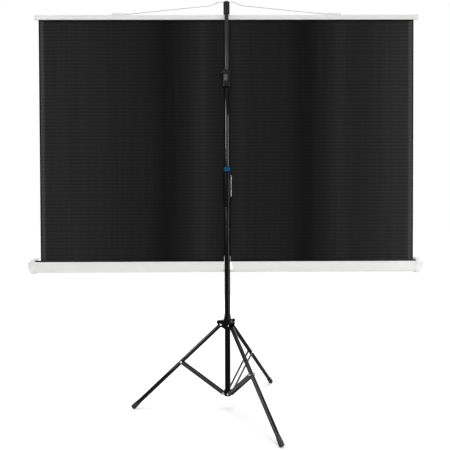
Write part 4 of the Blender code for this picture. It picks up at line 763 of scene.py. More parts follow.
def fluted(radius, depth, flutes, steps=10):
    """A round outline with shallow flutes between raised ribs."""
    points = []
    for i in range(flutes * steps):
        turn = 2 * math.pi * i / (flutes * steps)
        dip = depth * (0.5 - 0.5 * math.cos(flutes * turn)) ** 2
        points.append(((radius - dip) * math.cos(turn), (radius - dip) * math.sin(turn)))
    return points


def boolean(operation, obj, *tools):
    """Join tools to a piece or cut them from it, and remove them."""
    for tool in tools:
        apply_modifier(obj, "BOOLEAN", operation=operation, solver="EXACT", object=tool)
        bpy.data.objects.remove(tool)
    return obj


def joined(obj, *tools):
    return boolean("UNION", obj, *tools)


def carved(obj, *tools):
    return boolean("DIFFERENCE", obj, *tools)


def bar_of(radius, low, high, steps=PIN_STEPS):
    """A plain round bar along Z, as a tool for a hole or a stud."""
    return turned([(radius, low), (radius, high)], steps)


def headed_pin(radius, half, head, rise):
    """A pin with a domed head at each end."""
    dome = arc((0, 0), 1, 0, 80, 5)
    upper = [(head, half), *((head * x, half + rise * (0.25 + 0.75 * y)) for x, y in dome)]
    lower = [(r, -z) for r, z in reversed(upper)]
    return soften(turned([*lower, (radius, -half), (radius, half), *upper], PIN_STEPS), 0.00015, 1)


def cross_head(profile, reach, half, floor):
    """A screw's head with a cross-shaped recess."""
    head = turned(profile, PIN_STEPS)
    return carved(head, block((-reach, -half, floor), (reach, half, RECESS_TOP)),
                  block((-half, -reach, floor), (half, reach, RECESS_TOP)))


def channel(points, wall, low, high):
    """A thin wall along a line of (x, y) points, the middle of the wall, pulled from low to high."""
    chain(points, low, closed=False)
    return apply_modifier(pull(high - low), "SOLIDIFY", thickness=wall, offset=0, use_even_offset=True)


def wire(points, radius, bend):
    """Round wire through corner points, each corner bent to a radius-like reach."""
    path = [Vector(points[0])]
    for before, corner, after in zip(points, points[1:], points[2:]):
        corner = Vector(corner)
        entry = corner + (Vector(before) - corner).normalized() * bend
        leave = corner + (Vector(after) - corner).normalized() * bend
        for i in range(9):
            share = i / 8
            path.append(entry.lerp(corner, share).lerp(corner.lerp(leave, share), share))
    path.append(Vector(points[-1]))
    curve = bpy.data.curves.new("wire", "CURVE")
    curve.dimensions = "3D"
    curve.bevel_depth = radius
    curve.bevel_resolution = 6
    curve.use_fill_caps = True
    spline = curve.splines.new("POLY")
    spline.points.add(len(path) - 1)
    for point, place in zip(spline.points, path):
        point.co = (*place, 1)
    obj = bpy.data.objects.new("wire", curve)
    bpy.context.scene.collection.objects.link(obj)
    take(obj)
    bpy.ops.object.convert(target="MESH")
    made = bpy.context.object
    bpy.ops.object.mode_set(mode="EDIT")
    bpy.ops.mesh.select_all(action="SELECT")
    bpy.ops.mesh.remove_doubles(threshold=WELD)
    bpy.ops.object.mode_set(mode="OBJECT")
    return made


def finish(obj, name, slot, body, *nodes, look=None):
    """Name a finished piece, give it its material, and let it ride on its body and stand for its nodes."""
    obj.name = name
    obj.data.name = name
    obj.data.materials.clear()
    obj.data.materials.append(FINISHES[look or slot])
    take(obj)
    bpy.ops.object.shade_smooth_by_angle(angle=SMOOTH_ANGLE)
    if body:
        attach(obj, body)
    if nodes:
        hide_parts(*nodes)
    return obj


def straight_tube(node, name, wall, body, look=None):
    """A mast tube between its node's ends, open, with its mouth's edges broken."""
    lowest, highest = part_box(node)
    outer = (highest.x - lowest.x) / 2
    inner = outer - wall
    profile = [(inner, lowest.z), (outer, lowest.z), (outer, highest.z), (inner, highest.z)]
    tube = put(soften(turned(profile, ring=True)), MAST)
    return finish(tube, name, SLOT_OF[node], body, node, look=look)


class SCREEN_OT_finishes(bpy.types.Operator):
    """Make the materials and give one to every node of the frame"""
    bl_idname = "screen.finishes"
    bl_label = "Finishes"

    def execute(self, context):
        FINISHES.update(make_finishes())
        for node, obj in frame["nodes"].items():
            obj.data.materials.clear()
            obj.data.materials.append(FINISHES[SLOT_OF[node]])
        return {"FINISHED"}


class SCREEN_OT_mast(bpy.types.Operator):
    """Model the three mast tubes"""
    bl_idname = "screen.mast"
    bl_label = "Mast tubes"

    def execute(self, context):
        straight_tube("lower_tube", "lower_mast", 0.0012, "post")
        straight_tube("middle_tube", "middle_mast", 0.0012, "middle")
        straight_tube("upper_tube", "upper_mast", 0.0010, "upper", "satin_black_tube")
        return {"FINISHED"}


class SCREEN_OT_hub(bpy.types.Operator):
    """Model the hub at the mast's foot with its three lugs, and the braces' lower pins"""
    bl_idname = "screen.hub"
    bl_label = "Hub"

    def execute(self, context):
        lowest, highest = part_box("lower_hub")
        low, high = lowest.z, highest.z
        outer = MAST_RADIUS + HUB_WALL
        band = outer + 0.0011
        hub = turned([(outer - 0.0030, low), (outer - 0.0008, low + 0.0008), (outer, low + 0.0030),
                      (outer, high - 0.0085), (band, high - 0.0075), (band, high - 0.0010),
                      (band - 0.0010, high), (MAST_RADIUS, high)])
        for number in LEGS:
            pivot = brace_pivot(number)
            outline = [(LUG_ROOT, pivot.z - LUG_END), *arc((pivot.x, pivot.z), LUG_END, -90, 90, 12),
                       (LUG_ROOT, pivot.z + LUG_END)]
            lug = soften(drawn(outline, -LUG_HALF_WIDTH, LUG_HALF_WIDTH), 0.0008)
            joined(hub, put(lug, out_frame(number) @ UPRIGHT))
        carved(hub, bar_of(MAST_RADIUS + FIT, low + HUB_FLOOR, high + OVERRUN, TUBE_STEPS))
        finish(put(hub, MAST), "mast_hub", "black_plastic", "post", "lower_hub")
        pattern = None
        for number in LEGS:
            place = brace_frame(number)
            if not pattern:
                half = box_in(f"brace_pin_{number}", place)[1].y - PIN_RISE
                pattern = headed_pin(PIN_RADIUS, half, PIN_HEAD, PIN_RISE)
            pin = put(copy_of(pattern), place @ ALONG_Y)
            finish(pin, f"hub_pin_{number}", "pin_steel", "post", f"brace_pin_{number}")
        bpy.data.objects.remove(pattern)
        return {"FINISHED"}


class SCREEN_OT_collar(bpy.types.Operator):
    """Model the leg collar with its cheeks and pins, and the clamp knob"""
    bl_idname = "screen.collar"
    bl_label = "Leg collar"

    def execute(self, context):
        lowest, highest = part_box("leg_collar")
        low, high = lowest.z, highest.z
        bore = MAST_RADIUS + FIT
        outer = bore + COLLAR_WALL
        neck = bore + COLLAR_NECK_WALL
        waist = high - COLLAR_NECK_HEIGHT
        neck_top = high - 0.0010
        profile = [(outer - 0.0020, low), (outer - 0.0006, low + 0.0006), (outer, low + 0.0020)]
        for i in range(8):
            share = i / 8
            radius = neck + (outer - neck) * (1 - share) ** 1.8
            profile.append((radius, waist + (neck_top - waist) * share))
        collar = turned(profile + [(neck, neck_top), (neck - 0.0008, high)])
        for number in LEGS:
            joined(collar, put(self.make_lug(leg_pivot(number), bore, low), out_frame(number) @ UPRIGHT))
        knob = JOINTS["knob_turn"]
        axis = axes_frame(MAST.inverted() @ Vector(knob["pos_m"]), Vector(knob["axis"]), Vector((0, 0, 1)))
        start_of_knob = box_in("collar_knob", MAST @ axis)[1].z - KNOB_LENGTH
        joined(collar, put(turned([(0.0045, -0.0040), (0.0045, start_of_knob - FIT - 0.0006),
                                   (0.0039, start_of_knob - FIT)], PIN_STEPS), axis))
        carved(collar, bar_of(bore, low - OVERRUN, high + OVERRUN, TUBE_STEPS),
               put(bar_of(STUD_RADIUS + FIT, start_of_knob - 0.0060, start_of_knob + OVERRUN), axis))
        finish(put(collar, MAST), "tripod_collar", "black_plastic", "collar", "leg_collar")
        half = box_in("leg_pin_1", leg_frame(1))[1].y - PIN_RISE
        pattern = headed_pin(PIN_RADIUS, half, PIN_HEAD, PIN_RISE)
        for number in LEGS:
            pin = put(copy_of(pattern), leg_frame(number) @ ALONG_Y)
            finish(pin, f"collar_pin_{number}", "pin_steel", "collar", f"leg_pin_{number}")
        bpy.data.objects.remove(pattern)
        self.make_knob(MAST @ axis)
        return {"FINISHED"}

    def make_lug(self, pivot, bore, low):
        """Two cheeks beside a leg's head under a rounded hood."""
        half = CHEEK_INNER + 0.0030
        under = pivot.z + HOOD_CLEAR
        top = under + HOOD_THICKNESS
        outline = [(bore, low + 0.0020), *arc((pivot.x, pivot.z), CHEEK_END, -60, -20, 6),
                   *arc((pivot.x + HOOD_REACH, top - HOOD_END), HOOD_END, -45, 90, 12),
                   (bore, top + HOOD_RISE)]
        lug = drawn(outline, -half, half)
        round_edges(lug, lambda edge: abs(edge.verts[0].co.z - edge.verts[1].co.z) < WELD, 0.0024, 4)
        slot = block((0, low - OVERRUN, -CHEEK_INNER), (pivot.x + 2 * HOOD_REACH, under, CHEEK_INNER))
        return soften(carved(lug, slot), 0.0004)

    def make_knob(self, axis):
        """A knurled knob with a dished end."""
        end = box_in("collar_knob", axis)[1].z
        back = end - KNOB_LENGTH
        knob = soften(drawn(fluted(KNOB_RADIUS, 0.0008, 10, 8), back, end), 0.0008, 2)
        carved(knob, turned([(0.0036, end - 0.0008), (0.0048, end + 0.0006)], PIN_STEPS))
        joined(knob, bar_of(STUD_RADIUS, back - 0.0050, end - 0.0030))
        finish(put(knob, axis), "clamp_knob", "black_plastic", "knob", "collar_knob")


class SCREEN_OT_legs(bpy.types.Operator):
    """Model the three legs and their rubber feet"""
    bl_idname = "screen.legs"
    bl_label = "Legs"

    def execute(self, context):
        place = leg_frame(1)
        lowest, highest = box_in("leg_tube_1", place)
        outer = (highest.y - lowest.y) / 2
        top = highest.z
        tube = turned([(outer, lowest.z), (outer, top - 0.0040)]
                      + [(outer * math.cos(a), top - 0.0040 + 0.0040 * math.sin(a))
                         for a in (0.35, 0.70, 1.05, 1.35)])
        sole, neck_top = box_in("leg_foot_1", place)[0].z, box_in("leg_foot_1", place)[1].z
        foot = self.make_foot(outer, sole, neck_top)
        for number in LEGS:
            leg = put(copy_of(tube), leg_frame(number))
            finish(leg, f"leg_{number}", "gloss_black_tube", f"leg_{number}", f"leg_tube_{number}")
            shoe = put(copy_of(foot), leg_frame(number))
            bpy.ops.object.mode_set(mode="EDIT")
            bpy.ops.mesh.select_all(action="SELECT")
            bpy.ops.mesh.bisect(plane_co=(0, 0, CAD_BOX[0].z), plane_no=(0, 0, 1), use_fill=True,
                                clear_inner=True)
            bpy.ops.object.mode_set(mode="OBJECT")
            finish(shoe, f"foot_{number}", "rubber", f"leg_{number}", f"leg_foot_{number}")
        bpy.data.objects.remove(tube)
        bpy.data.objects.remove(foot)
        return {"FINISHED"}

    def make_foot(self, tube_radius, sole, top):
        """A rubber ferrule: a rounded tread, three grooves and a beaded neck."""
        tread = TREAD_RADIUS
        neck = tube_radius + 0.0015
        profile = [(tread + TREAD_ROUNDING * (math.cos(a) - 1), sole + TREAD_ROUNDING * (1 + math.sin(a)))
                   for a in (-1.5, -1.1, -0.7, -0.35, 0)]
        for height in FOOT_GROOVES:
            profile += groove(tread, sole + height, 0.0006, 0.0007, 0.0003)
        profile += [(tread, sole + 0.0225), (neck, sole + 0.0245), (neck, top - 0.0028),
                    (neck + 0.0006, top - 0.0020), (neck + 0.0006, top - 0.0008), (neck, top),
                    (tube_radius + 0.0001, top)]
        return turned(profile)


class SCREEN_OT_braces(bpy.types.Operator):
    """Model the braces: two pressed strips and their rivets to each leg"""
    bl_idname = "screen.braces"
    bl_label = "Braces"

    def execute(self, context):
        length = (box_middle("brace_bush_1") - Vector(JOINTS["brace_fold_1"]["pos_m"])).length
        half = STRIP_WIDTH / 2
        inner = box_in("brace_strip_1b", brace_frame(1))[0].y
        outer = inner + STRIP_THICKNESS
        outline = arc((0, 0), half, 180, 360, 16) + arc((0, length), half, 0, 180, 16)
        strip = soften(drawn(outline, -outer, -inner), 0.0005)
        bead = drawn(rounded(-0.0021, 0.0021, 0.028, length - 0.028, 0.0020),
                     -outer - OVERRUN, 0.0005 - outer)
        put(carved(strip, bead), UPRIGHT)
        dome = [(RIVET_RADIUS * math.cos(a), outer - 0.0002 + RIVET_RISE * math.sin(a))
                for a in (0, 0.4, 0.8, 1.2, 1.45)]
        rivet = turned([(RIVET_RADIUS, outer - 0.0008), *dome], PIN_STEPS)
        put(rivet, Matrix.Translation((0, 0, length)) @ ALONG_Y)
        for number in LEGS:
            for letter, turn in (("a", math.pi), ("b", 0)):
                place = brace_frame(number) @ Matrix.Rotation(turn, 4, "Z")
                finish(put(copy_of(strip), place), f"brace_{number}{letter}", "grey_strip", f"brace_{number}",
                       f"brace_strip_{number}{letter}")
                finish(put(copy_of(rivet), place), f"rivet_{number}{letter}", "pin_steel", f"brace_{number}")
        bpy.data.objects.remove(strip)
        bpy.data.objects.remove(rivet)
        return {"FINISHED"}


class SCREEN_OT_grip(bpy.types.Operator):
    """Model the grip, its lever and pin, and the blue bushing"""
    bl_idname = "screen.grip"
    bl_label = "Grip and lever"

    def execute(self, context):
        lowest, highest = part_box("grip_body")
        low, high = lowest.z, highest.z - BUSHING_SKIRT
        body_low = low + GRIP_NECK_LENGTH
        body, neck = GRIP_RADIUS, GRIP_NECK_RADIUS
        profile = [(neck - 0.0006, low), (neck, low + 0.0008), (neck, body_low - 0.0004),
                   (body - 0.0018, body_low), (body - 0.0005, body_low + 0.0006), (body, body_low + 0.0020)]
        for height in GRIP_GROOVES:
            profile += groove(body, high - height, 0.0005, 0.0008, 0.0004)
        profile += [(body, high - 0.0020), (body - 0.0006, high - 0.0006), (body - 0.0020, high)]
        grip = turned(profile)
        pivot = MAST.inverted() @ Vector(JOINTS["lever_swing"]["pos_m"])
        ears = drawn([(MAST_RADIUS, pivot.z - EAR_RADIUS), *arc((pivot.x, pivot.z), EAR_RADIUS, -90, 90, 12),
                      (MAST_RADIUS, pivot.z + EAR_RADIUS)], -EAR_HALF_WIDTH, EAR_HALF_WIDTH)
        joined(grip, put(soften(ears, 0.0008), UPRIGHT))
        lever_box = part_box("lock_lever")
        slot = block((LEVER_BACK - 0.0006, -0.0062, lever_box[0].z - 0.0030),
                     (0.0345, 0.0062, lever_box[1].z + 0.0030))
        mast_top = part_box("lower_tube")[1].z + FIT
        carved(grip, slot, bar_of(MAST_RADIUS + FIT, low - OVERRUN, mast_top, TUBE_STEPS),
               bar_of(MIDDLE_RADIUS + FIT, low, high + OVERRUN, TUBE_STEPS))
        finish(put(grip, MAST), "mast_grip", "black_plastic", "post", "grip_body")
        self.make_lever(pivot)
        pin = soften(bar_of(0.0020, -EAR_HALF_WIDTH, EAR_HALF_WIDTH), 0.0003)
        put(pin, MAST @ Matrix.Translation(pivot) @ ALONG_Y)
        finish(pin, "lever_pivot_pin", "pin_steel", "post", "lever_pin")
        self.make_bushing()
        return {"FINISHED"}

    def make_lever(self, pivot):
        """A lever pressed from sheet: a channel open towards the mast."""
        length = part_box("lock_lever")[1].z - pivot.z
        front = 0.0022
        back = LEVER_BACK - pivot.x
        outline = [*arc((0, 0), -back, 180, 360, 12), (front, 0.0068), (front, length - 0.0100),
                   (front - 0.0008, length - 0.0040), (front - 0.0024, length), (back, length), (back, -back)]
        lever = soften(drawn(outline, -0.0055, 0.0055), 0.0009, 3)
        hollow = drawn([(back - OVERRUN, 0.0060), (front - 0.0012, 0.0085),
                        (front - 0.0012, length - 0.0110), (front - 0.0036, length - 0.0030),
                        (back - OVERRUN, length - 0.0030)], -0.0042, 0.0042)
        carved(lever, hollow)
        place = MAST @ Matrix.Translation(pivot) @ UPRIGHT
        finish(put(lever, place), "clamp_lever", "lever_metal", "lever", "lock_lever")

    def make_bushing(self):
        lowest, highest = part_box("lock_bushing")
        low, high = lowest.z - BUSHING_SKIRT, highest.z
        outer = (highest.x - lowest.x) / 2
        inner = MIDDLE_RADIUS + FIT
        ring = turned([(inner, low), (outer, low), (outer, low + 0.0130), (outer - 0.0008, low + 0.0140),
                       (outer - 0.0008, high - 0.0040), (outer - 0.0016, high - 0.0012),
                       (outer - 0.0028, high), (inner + 0.0006, high), (inner, high - 0.0006)], ring=True)
        notches = [put(block((0, -0.0011, high - 0.0060), (outer + OVERRUN, 0.0011, high + OVERRUN)),
                       Matrix.Rotation(math.radians(turn), 4, "Z")) for turn in (30, 150, 270)]
        finish(put(carved(ring, *notches), MAST), "blue_bushing", "blue_plastic", "post", "lock_bushing",
               look="shaded_bushing")


class SCREEN_OT_upper_lock(bpy.types.Operator):
    """Model the upper lock's housing, its push button and its screws"""
    bl_idname = "screen.upper_lock"
    bl_label = "Upper lock"

    def execute(self, context):
        lowest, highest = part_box("upper_lock")
        low, high = lowest.z, highest.z
        left, right, front, back = -0.0170, 0.0135, -0.0200, 0.0155
        lock = soften(drawn(rounded(left, right, front, back, 0.0045), low, high), 0.0014, 3)
        flange = drawn(rounded(-0.0260, 0.0170, -0.0120, 0.0120, 0.0040), high - 0.0165, high - 0.0075)
        soften(flange, 0.0012, 3)
        lip = drawn(rounded(left - 0.0015, right + 0.0015, front - 0.0015, back - 0.0006, 0.0045),
                    low + 0.0050, low + 0.0140)
        soften(lip, 0.0008)
        joined(lock, flange, lip)
        button = MAST.inverted() @ box_middle("lock_button")
        pocket = drawn(rounded(-0.0080, 0.0080, -0.0150, 0.0150, 0.0030), 0.0118, 0.0260)
        put(pocket, Matrix.Translation((button.x, 0, button.z)) @ UPRIGHT)
        tube_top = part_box("middle_tube")[1].z + FIT
        carved(lock, pocket, bar_of(MIDDLE_RADIUS + FIT, low - OVERRUN, tube_top, TUBE_STEPS),
               bar_of(UPPER_RADIUS + FIT, low, high + OVERRUN, TUBE_STEPS))
        finish(put(lock, MAST), "lock_housing", "black_plastic", "middle", "upper_lock", look="lock_plastic")
        self.make_button(button)
        self.make_screws(front, low, high)
        return {"FINISHED"}

    def make_button(self, middle):
        """A push button with grip ribs."""
        lowest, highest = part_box("lock_button")
        face = -(MAST.inverted() @ lowest).y
        depth = highest.y - lowest.y
        button = drawn(rounded(-0.0077, 0.0077, -0.0147, 0.0147, 0.0027), face - depth, face)
        soften(button, 0.0010, 3)
        for height in BUTTON_GROOVES:
            outline = rounded(-0.0052, 0.0052, height - 0.0006, height + 0.0006, 0.0005)
            carved(button, drawn(outline, face - 0.0006, face + OVERRUN))
        place = MAST @ Matrix.Translation((middle.x, 0, middle.z)) @ UPRIGHT
        finish(put(button, place), "push_button", "grey_plastic", "button", "lock_button")

    def make_screws(self, front, low, high):
        """Two cross-head screws that hold the housing."""
        head = cross_head([(0.0026, 0), (0.0026, 0.0006), (0.0020, 0.0010)], 0.0016, 0.0003, 0.0005)
        for name, height in (("lock_screw_low", low + 0.0215), ("lock_screw_high", high - 0.0225)):
            place = MAST @ Matrix.Translation((0.0095, front + 0.0002, height)) @ UPRIGHT
            finish(put(copy_of(head), place), name, "black_plastic", "middle")
        bpy.data.objects.remove(head)


class SCREEN_OT_hook(bpy.types.Operator):
    """Model the ribbed cap on the mast's top, with its hook"""
    bl_idname = "screen.hook"
    bl_label = "Hook cap"

    def execute(self, context):
        lowest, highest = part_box("hook_cap")
        low, top = lowest.z, lowest.z + CAP_HEIGHT
        cap = drawn(fluted(CAP_RADIUS, 0.0026, 10), low - OVERRUN, top + OVERRUN)
        round_off = [(CAP_RADIUS - 0.0030 + 0.0030 * math.sin(a), 0.0030 - 0.0030 * math.cos(a))
                     for a in (0.2, 0.5, 0.8, 1.2, 1.6)]
        boolean("INTERSECT", cap, turned([(r, low + z) for r, z in round_off]
                                         + [(r, top - 0.0010 - z) for r, z in reversed(round_off)]))
        crown = turned([(0.0100, top - 0.0050), (0.0122, top - 0.0030), (0.0118, top - 0.0012),
                        (0.0092, top)])
        wire_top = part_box("bail_wire")[1].z
        sheet = (MAST.inverted() @ box_middle("bail_wire")).y
        notch = WIRE_RADIUS + 0.0012
        floor = wire_top - 2 * WIRE_RADIUS - FIT
        tip = (MAST.inverted() @ highest).y
        arm = drawn([(0.0100, top - 0.0220), (tip, floor - 0.0100), (tip, highest.z),
                     (sheet - notch, highest.z), (0.0100, top - 0.0030)], -0.0050, 0.0050)
        put(soften(arm, 0.0008, 3), SECTION)
        saddle = drawn([(sheet + notch, floor + 0.0100), (sheet + notch, floor + 0.0006),
                        (sheet + notch - 0.0006, floor), (sheet - notch + 0.0006, floor),
                        (sheet - notch, floor + 0.0006), (sheet - notch, floor + 0.0100)], -0.0080, 0.0080)
        put(saddle, SECTION)
        joined(cap, crown, arm)
        tube_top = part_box("upper_tube")[1].z + FIT
        carved(cap, saddle, bar_of(UPPER_RADIUS + FIT, low - OVERRUN, tube_top, TUBE_STEPS))
        finish(put(cap, MAST), "top_hook", "black_plastic", "upper", "hook_cap", look="ribbed_cap")
        return {"FINISHED"}


class SCREEN_OT_bail(bpy.types.Operator):
    """Model the wire bail and the two clips that hold it"""
    bl_idname = "screen.bail"
    bl_label = "Wire bail"

    def execute(self, context):
        lowest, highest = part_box("bail_wire")
        middle = (lowest + highest) / 2
        end = (highest.x - lowest.x) / 2
        foot = lowest.z + WIRE_RADIUS
        top = highest.z - WIRE_RADIUS
        half = [(end, foot), (0.490, foot), (0.072, top - 0.0175), (0.038, top)]
        points = [(middle.x - x, middle.y, z) for x, z in half]
        points += [(middle.x + x, middle.y, z) for x, z in reversed(half)]
        bail = soften(wire(points, WIRE_RADIUS, 0.008), 0.0003)
        finish(bail, "wire_bail", "zinc_plate", "bail", "bail_wire", look="wire_steel")
        self.make_clips(middle.y, foot)
        return {"FINISHED"}

    def make_clips(self, middle, wire_height):
        """White clips with a rounded back, open towards the mast for the wire's foot."""
        lowest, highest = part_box("bail_clip_right")
        length = highest.x - lowest.x
        half = (highest.y - lowest.y) / 2
        rise = highest.z - lowest.z
        corner = 0.0036
        clip = drawn([(-half, 0), (half, 0), *arc((half - corner, rise - corner), corner, 0, 90, 10),
                      *arc((corner - half, rise - corner), corner, 90, 180, 10)], 0, length)
        soften(clip, 0.0008, 3)
        hole = bar_of(WIRE_RADIUS + FIT, -OVERRUN, length - 0.0080)
        put(hole, Matrix.Translation((0, wire_height - lowest.z, 0)))
        places = [Matrix.Translation((0, 0, along)) @ ALONG_Y for along in (length * 0.30, length * 0.80)]
        seat = [(0.0030, rise - 0.0014), (0.0030, rise + OVERRUN)]
        carved(clip, hole, *(put(turned(seat, PIN_STEPS), place) for place in places))
        head = [(0.0026, rise - 0.0020), (0.0026, rise - 0.0009), (0.0016, rise - 0.0004)]
        screws = [put(turned(head, PIN_STEPS), place) for place in places]
        for side, turn in (("right", 0), ("left", math.pi)):
            base = Vector((lowest.x, middle, lowest.z))
            if side == "left":
                base = Vector((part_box("bail_clip_left")[1].x, middle, lowest.z))
            place = Matrix.Translation(base) @ Matrix.Rotation(turn, 4, "Z") @ SECTION
            back = put(copy_of(clip), place)
            finish(back, f"wire_clip_{side}", "white_plastic", "top", f"bail_clip_{side}")
            for number, screw in enumerate(screws, 1):
                finish(put(copy_of(screw), place), f"clip_screw_{side}_{number}", "pin_steel", "top")
        for obj in (clip, *screws):
            bpy.data.objects.remove(obj)


class SCREEN_OT_top_bar(bpy.types.Operator):
    """Model the rolled top bar and its two end caps"""
    bl_idname = "screen.top_bar"
    bl_label = "Top bar"

    def execute(self, context):
        lowest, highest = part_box("top_bar")
        near, far, low, high = lowest.y, highest.y, lowest.z, highest.z
        half_wall = BAR_WALL / 2
        corner = 0.0040 - half_wall
        middle = (near + far) / 2
        slot = SLOT_IN_BAR + half_wall
        left, right, bottom, top = near + half_wall, far - half_wall, low + half_wall, high - half_wall
        path = [(middle + slot, bottom), *arc((right - corner, bottom + corner), corner, 270, 360),
                *arc((right - corner, top - corner), corner, 0, 90),
                *arc((left + corner, top - corner), corner, 90, 180),
                *arc((left + corner, bottom + corner), corner, 180, 270), (middle - slot, bottom)]
        bar = put(channel(path, BAR_WALL, lowest.x, highest.x), SECTION)
        finish(bar, "hanging_bar", "white_paint", "top", "top_bar")
        self.make_caps(low, high)
        return {"FINISHED"}

    def make_caps(self, low, high):
        """Moulded caps with a rounded end, a parting groove and a plug into the bar."""
        for side in ("left", "right"):
            lowest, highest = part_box(f"bar_cap_{side}")
            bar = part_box("top_bar")
            proud = 0.0010
            span = (bar[1].x + FIT, highest.x) if side == "right" else (lowest.x, bar[0].x - FIT)
            outline = rounded(lowest.y, highest.y, lowest.z, highest.z, 0.0050)
            cap = soften(drawn(outline, *span), 0.0022, 5)
            inset = BAR_WALL + FIT
            plug = (lowest.x, span[0] + 0.0006) if side == "right" else (span[1] - 0.0006, highest.x)
            plug_outline = rounded(lowest.y + proud + inset, highest.y - proud - inset, low + inset,
                                   high - inset, 0.0022)
            joined(cap, drawn(plug_outline, *plug))
            finish(put(cap, SECTION), f"hanging_bar_cap_{side}", "white_plastic", "top", f"bar_cap_{side}")


class SCREEN_OT_case(bpy.types.Operator):
    """Model the case, its slot lips, end caps and the joint that holds it to the mast"""
    bl_idname = "screen.case"
    bl_label = "Case"

    def execute(self, context):
        lowest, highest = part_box("case_shell")
        low, high = lowest.z, highest.z
        near, far = lowest.y, highest.y
        half_wall = CASE_WALL / 2
        lower, upper = 0.0140 - half_wall, 0.0025 - half_wall
        sheet = box_middle("top_bar").y
        slot = 0.0043 + half_wall
        left, right, bottom, top = near + half_wall, far - half_wall, low + half_wall, high - half_wall
        path = [(sheet - slot, top), *arc((left + upper, top - upper), upper, 90, 180, 6),
                *arc((left + lower, bottom + lower), lower, 180, 270, 14),
                *arc((right - lower, bottom + lower), lower, 270, 360, 14),
                *arc((right - upper, top - upper), upper, 0, 90, 6), (sheet + slot, top)]
        shell = put(channel(path, CASE_WALL, lowest.x, highest.x), SECTION)
        finish(shell, "roller_case", "white_paint", "case", "case_shell")
        self.make_lips(sheet, high)
        self.make_end_caps(near, far, low, high)
        self.make_joint()
        return {"FINISHED"}

    def make_lips(self, sheet, high):
        """Black lips that grip the case's wall on both sides of the slot."""
        for name, side in (("near", -1), ("far", 1)):
            lowest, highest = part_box(f"slot_lip_{name}")
            inner, outer, reach = 0.0016, 0.0040, 0.0058
            over, under = high + FIT, high - CASE_WALL - FIT
            half_outline = [(inner, lowest.z), (inner, highest.z - 0.0008),
                            (inner + 0.0003, highest.z - 0.0002), (inner + 0.0010, highest.z),
                            (outer - 0.0006, highest.z), (outer, highest.z - 0.0008), (outer, over + 0.0012),
                            (reach - 0.0004, over + 0.0012), (reach, over + 0.0008), (reach, over),
                            (outer, over), (outer, under), (reach, under), (reach, lowest.z)]
            outline = [(sheet + side * offset, height) for offset, height in half_outline]
            lip = put(drawn(outline, lowest.x, highest.x), SECTION)
            finish(lip, f"{name}_slot_lip", "black_plastic", "case", f"slot_lip_{name}")

    def make_end_caps(self, near, far, low, high):
        """Moulded end caps with a bulged end and an upright ear over the slot's end."""
        case_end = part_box("case_shell")[1].x
        for name, side in (("left", -1), ("right", 1)):
            lowest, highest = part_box(f"end_cap_{name}")
            base = lowest.z
            reach = max(abs(lowest.x), abs(highest.x)) - case_end
            bulge = base + 0.0370
            end = [(0.0130, base), (reach - 0.0016, bulge - 0.0064), (reach, bulge),
                   (reach - 0.0016, high - 0.0040), (0.0240, high + 0.0020), (0.0140, high + 0.0020),
                   (0.0140, highest.z)]
            outline = [(-0.0060, base), *end, (-0.0060, highest.z)]
            outline = [(side * (case_end + x), z) for x, z in outline]
            cap = soften(drawn(outline, -highest.y, -lowest.y), 0.0020, 4)
            put(cap, UPRIGHT)
            span = sorted((side * (case_end - 0.0100), side * (case_end + FIT)))
            corner, shoulder = 0.0140 + FIT, 0.0025 + FIT
            left, right, bottom, top = near - FIT, far + FIT, low - FIT, high + FIT
            pocket = drawn([*arc((left + shoulder, top - shoulder), shoulder, 90, 180),
                            *arc((left + corner, bottom + corner), corner, 180, 270),
                            *arc((right - corner, bottom + corner), corner, 270, 360),
                            *arc((right - shoulder, top - shoulder), shoulder, 0, 90)], *span)
            carved(cap, put(pocket, SECTION))
            finish(cap, f"case_end_{name}", "white_plastic", "case", f"end_cap_{name}")
            turn = Matrix.Rotation(side * math.pi / 2, 4, "Y")
            for number, y in ((1, near + 0.0150), (2, far - 0.0150)):
                head = cross_head([(0.0032, -0.0010), (0.0032, 0.0004), (0.0024, 0.0010)],
                                  0.0020, 0.0004, 0.0004)
                place = Matrix.Translation((side * (case_end + reach - 0.0012), y, bulge)) @ turn
                finish(put(head, place), f"end_screw_{name}_{number}", "pin_steel", "case")

    def make_joint(self):
        """The saddle on the mast, the plate on the case and the stud between them."""
        lowest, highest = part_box("pole_bracket")
        saddle = soften(block(lowest, highest), 0.0008)
        groove = put(bar_of(MAST_RADIUS + FIT, lowest.z - OVERRUN, highest.z + OVERRUN, TUBE_STEPS), MAST)
        finish(carved(saddle, groove), "mast_saddle", "zinc_plate", "post", "pole_bracket")
        lowest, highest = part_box("case_plate")
        plate = drawn(rounded(lowest.x, highest.x, lowest.z, highest.z, 0.0040), -highest.y, -lowest.y)
        put(soften(plate, 0.0004), UPRIGHT)
        finish(plate, "hanger_plate", "zinc_plate", "case", "case_plate")
        middle = (lowest + highest) / 2
        for number, (x, z) in enumerate(PLATE_RIVETS, 1):
            head = turned([(0.0026, 0), (0.0026, 0.0003), (0.0019, 0.0010), (0.0010, 0.0013)], PIN_STEPS)
            place = Matrix.Translation((middle.x + x, lowest.y + 0.0001, middle.z + z)) @ UPRIGHT
            finish(put(head, place), f"plate_rivet_{number}", "pin_steel", "case")


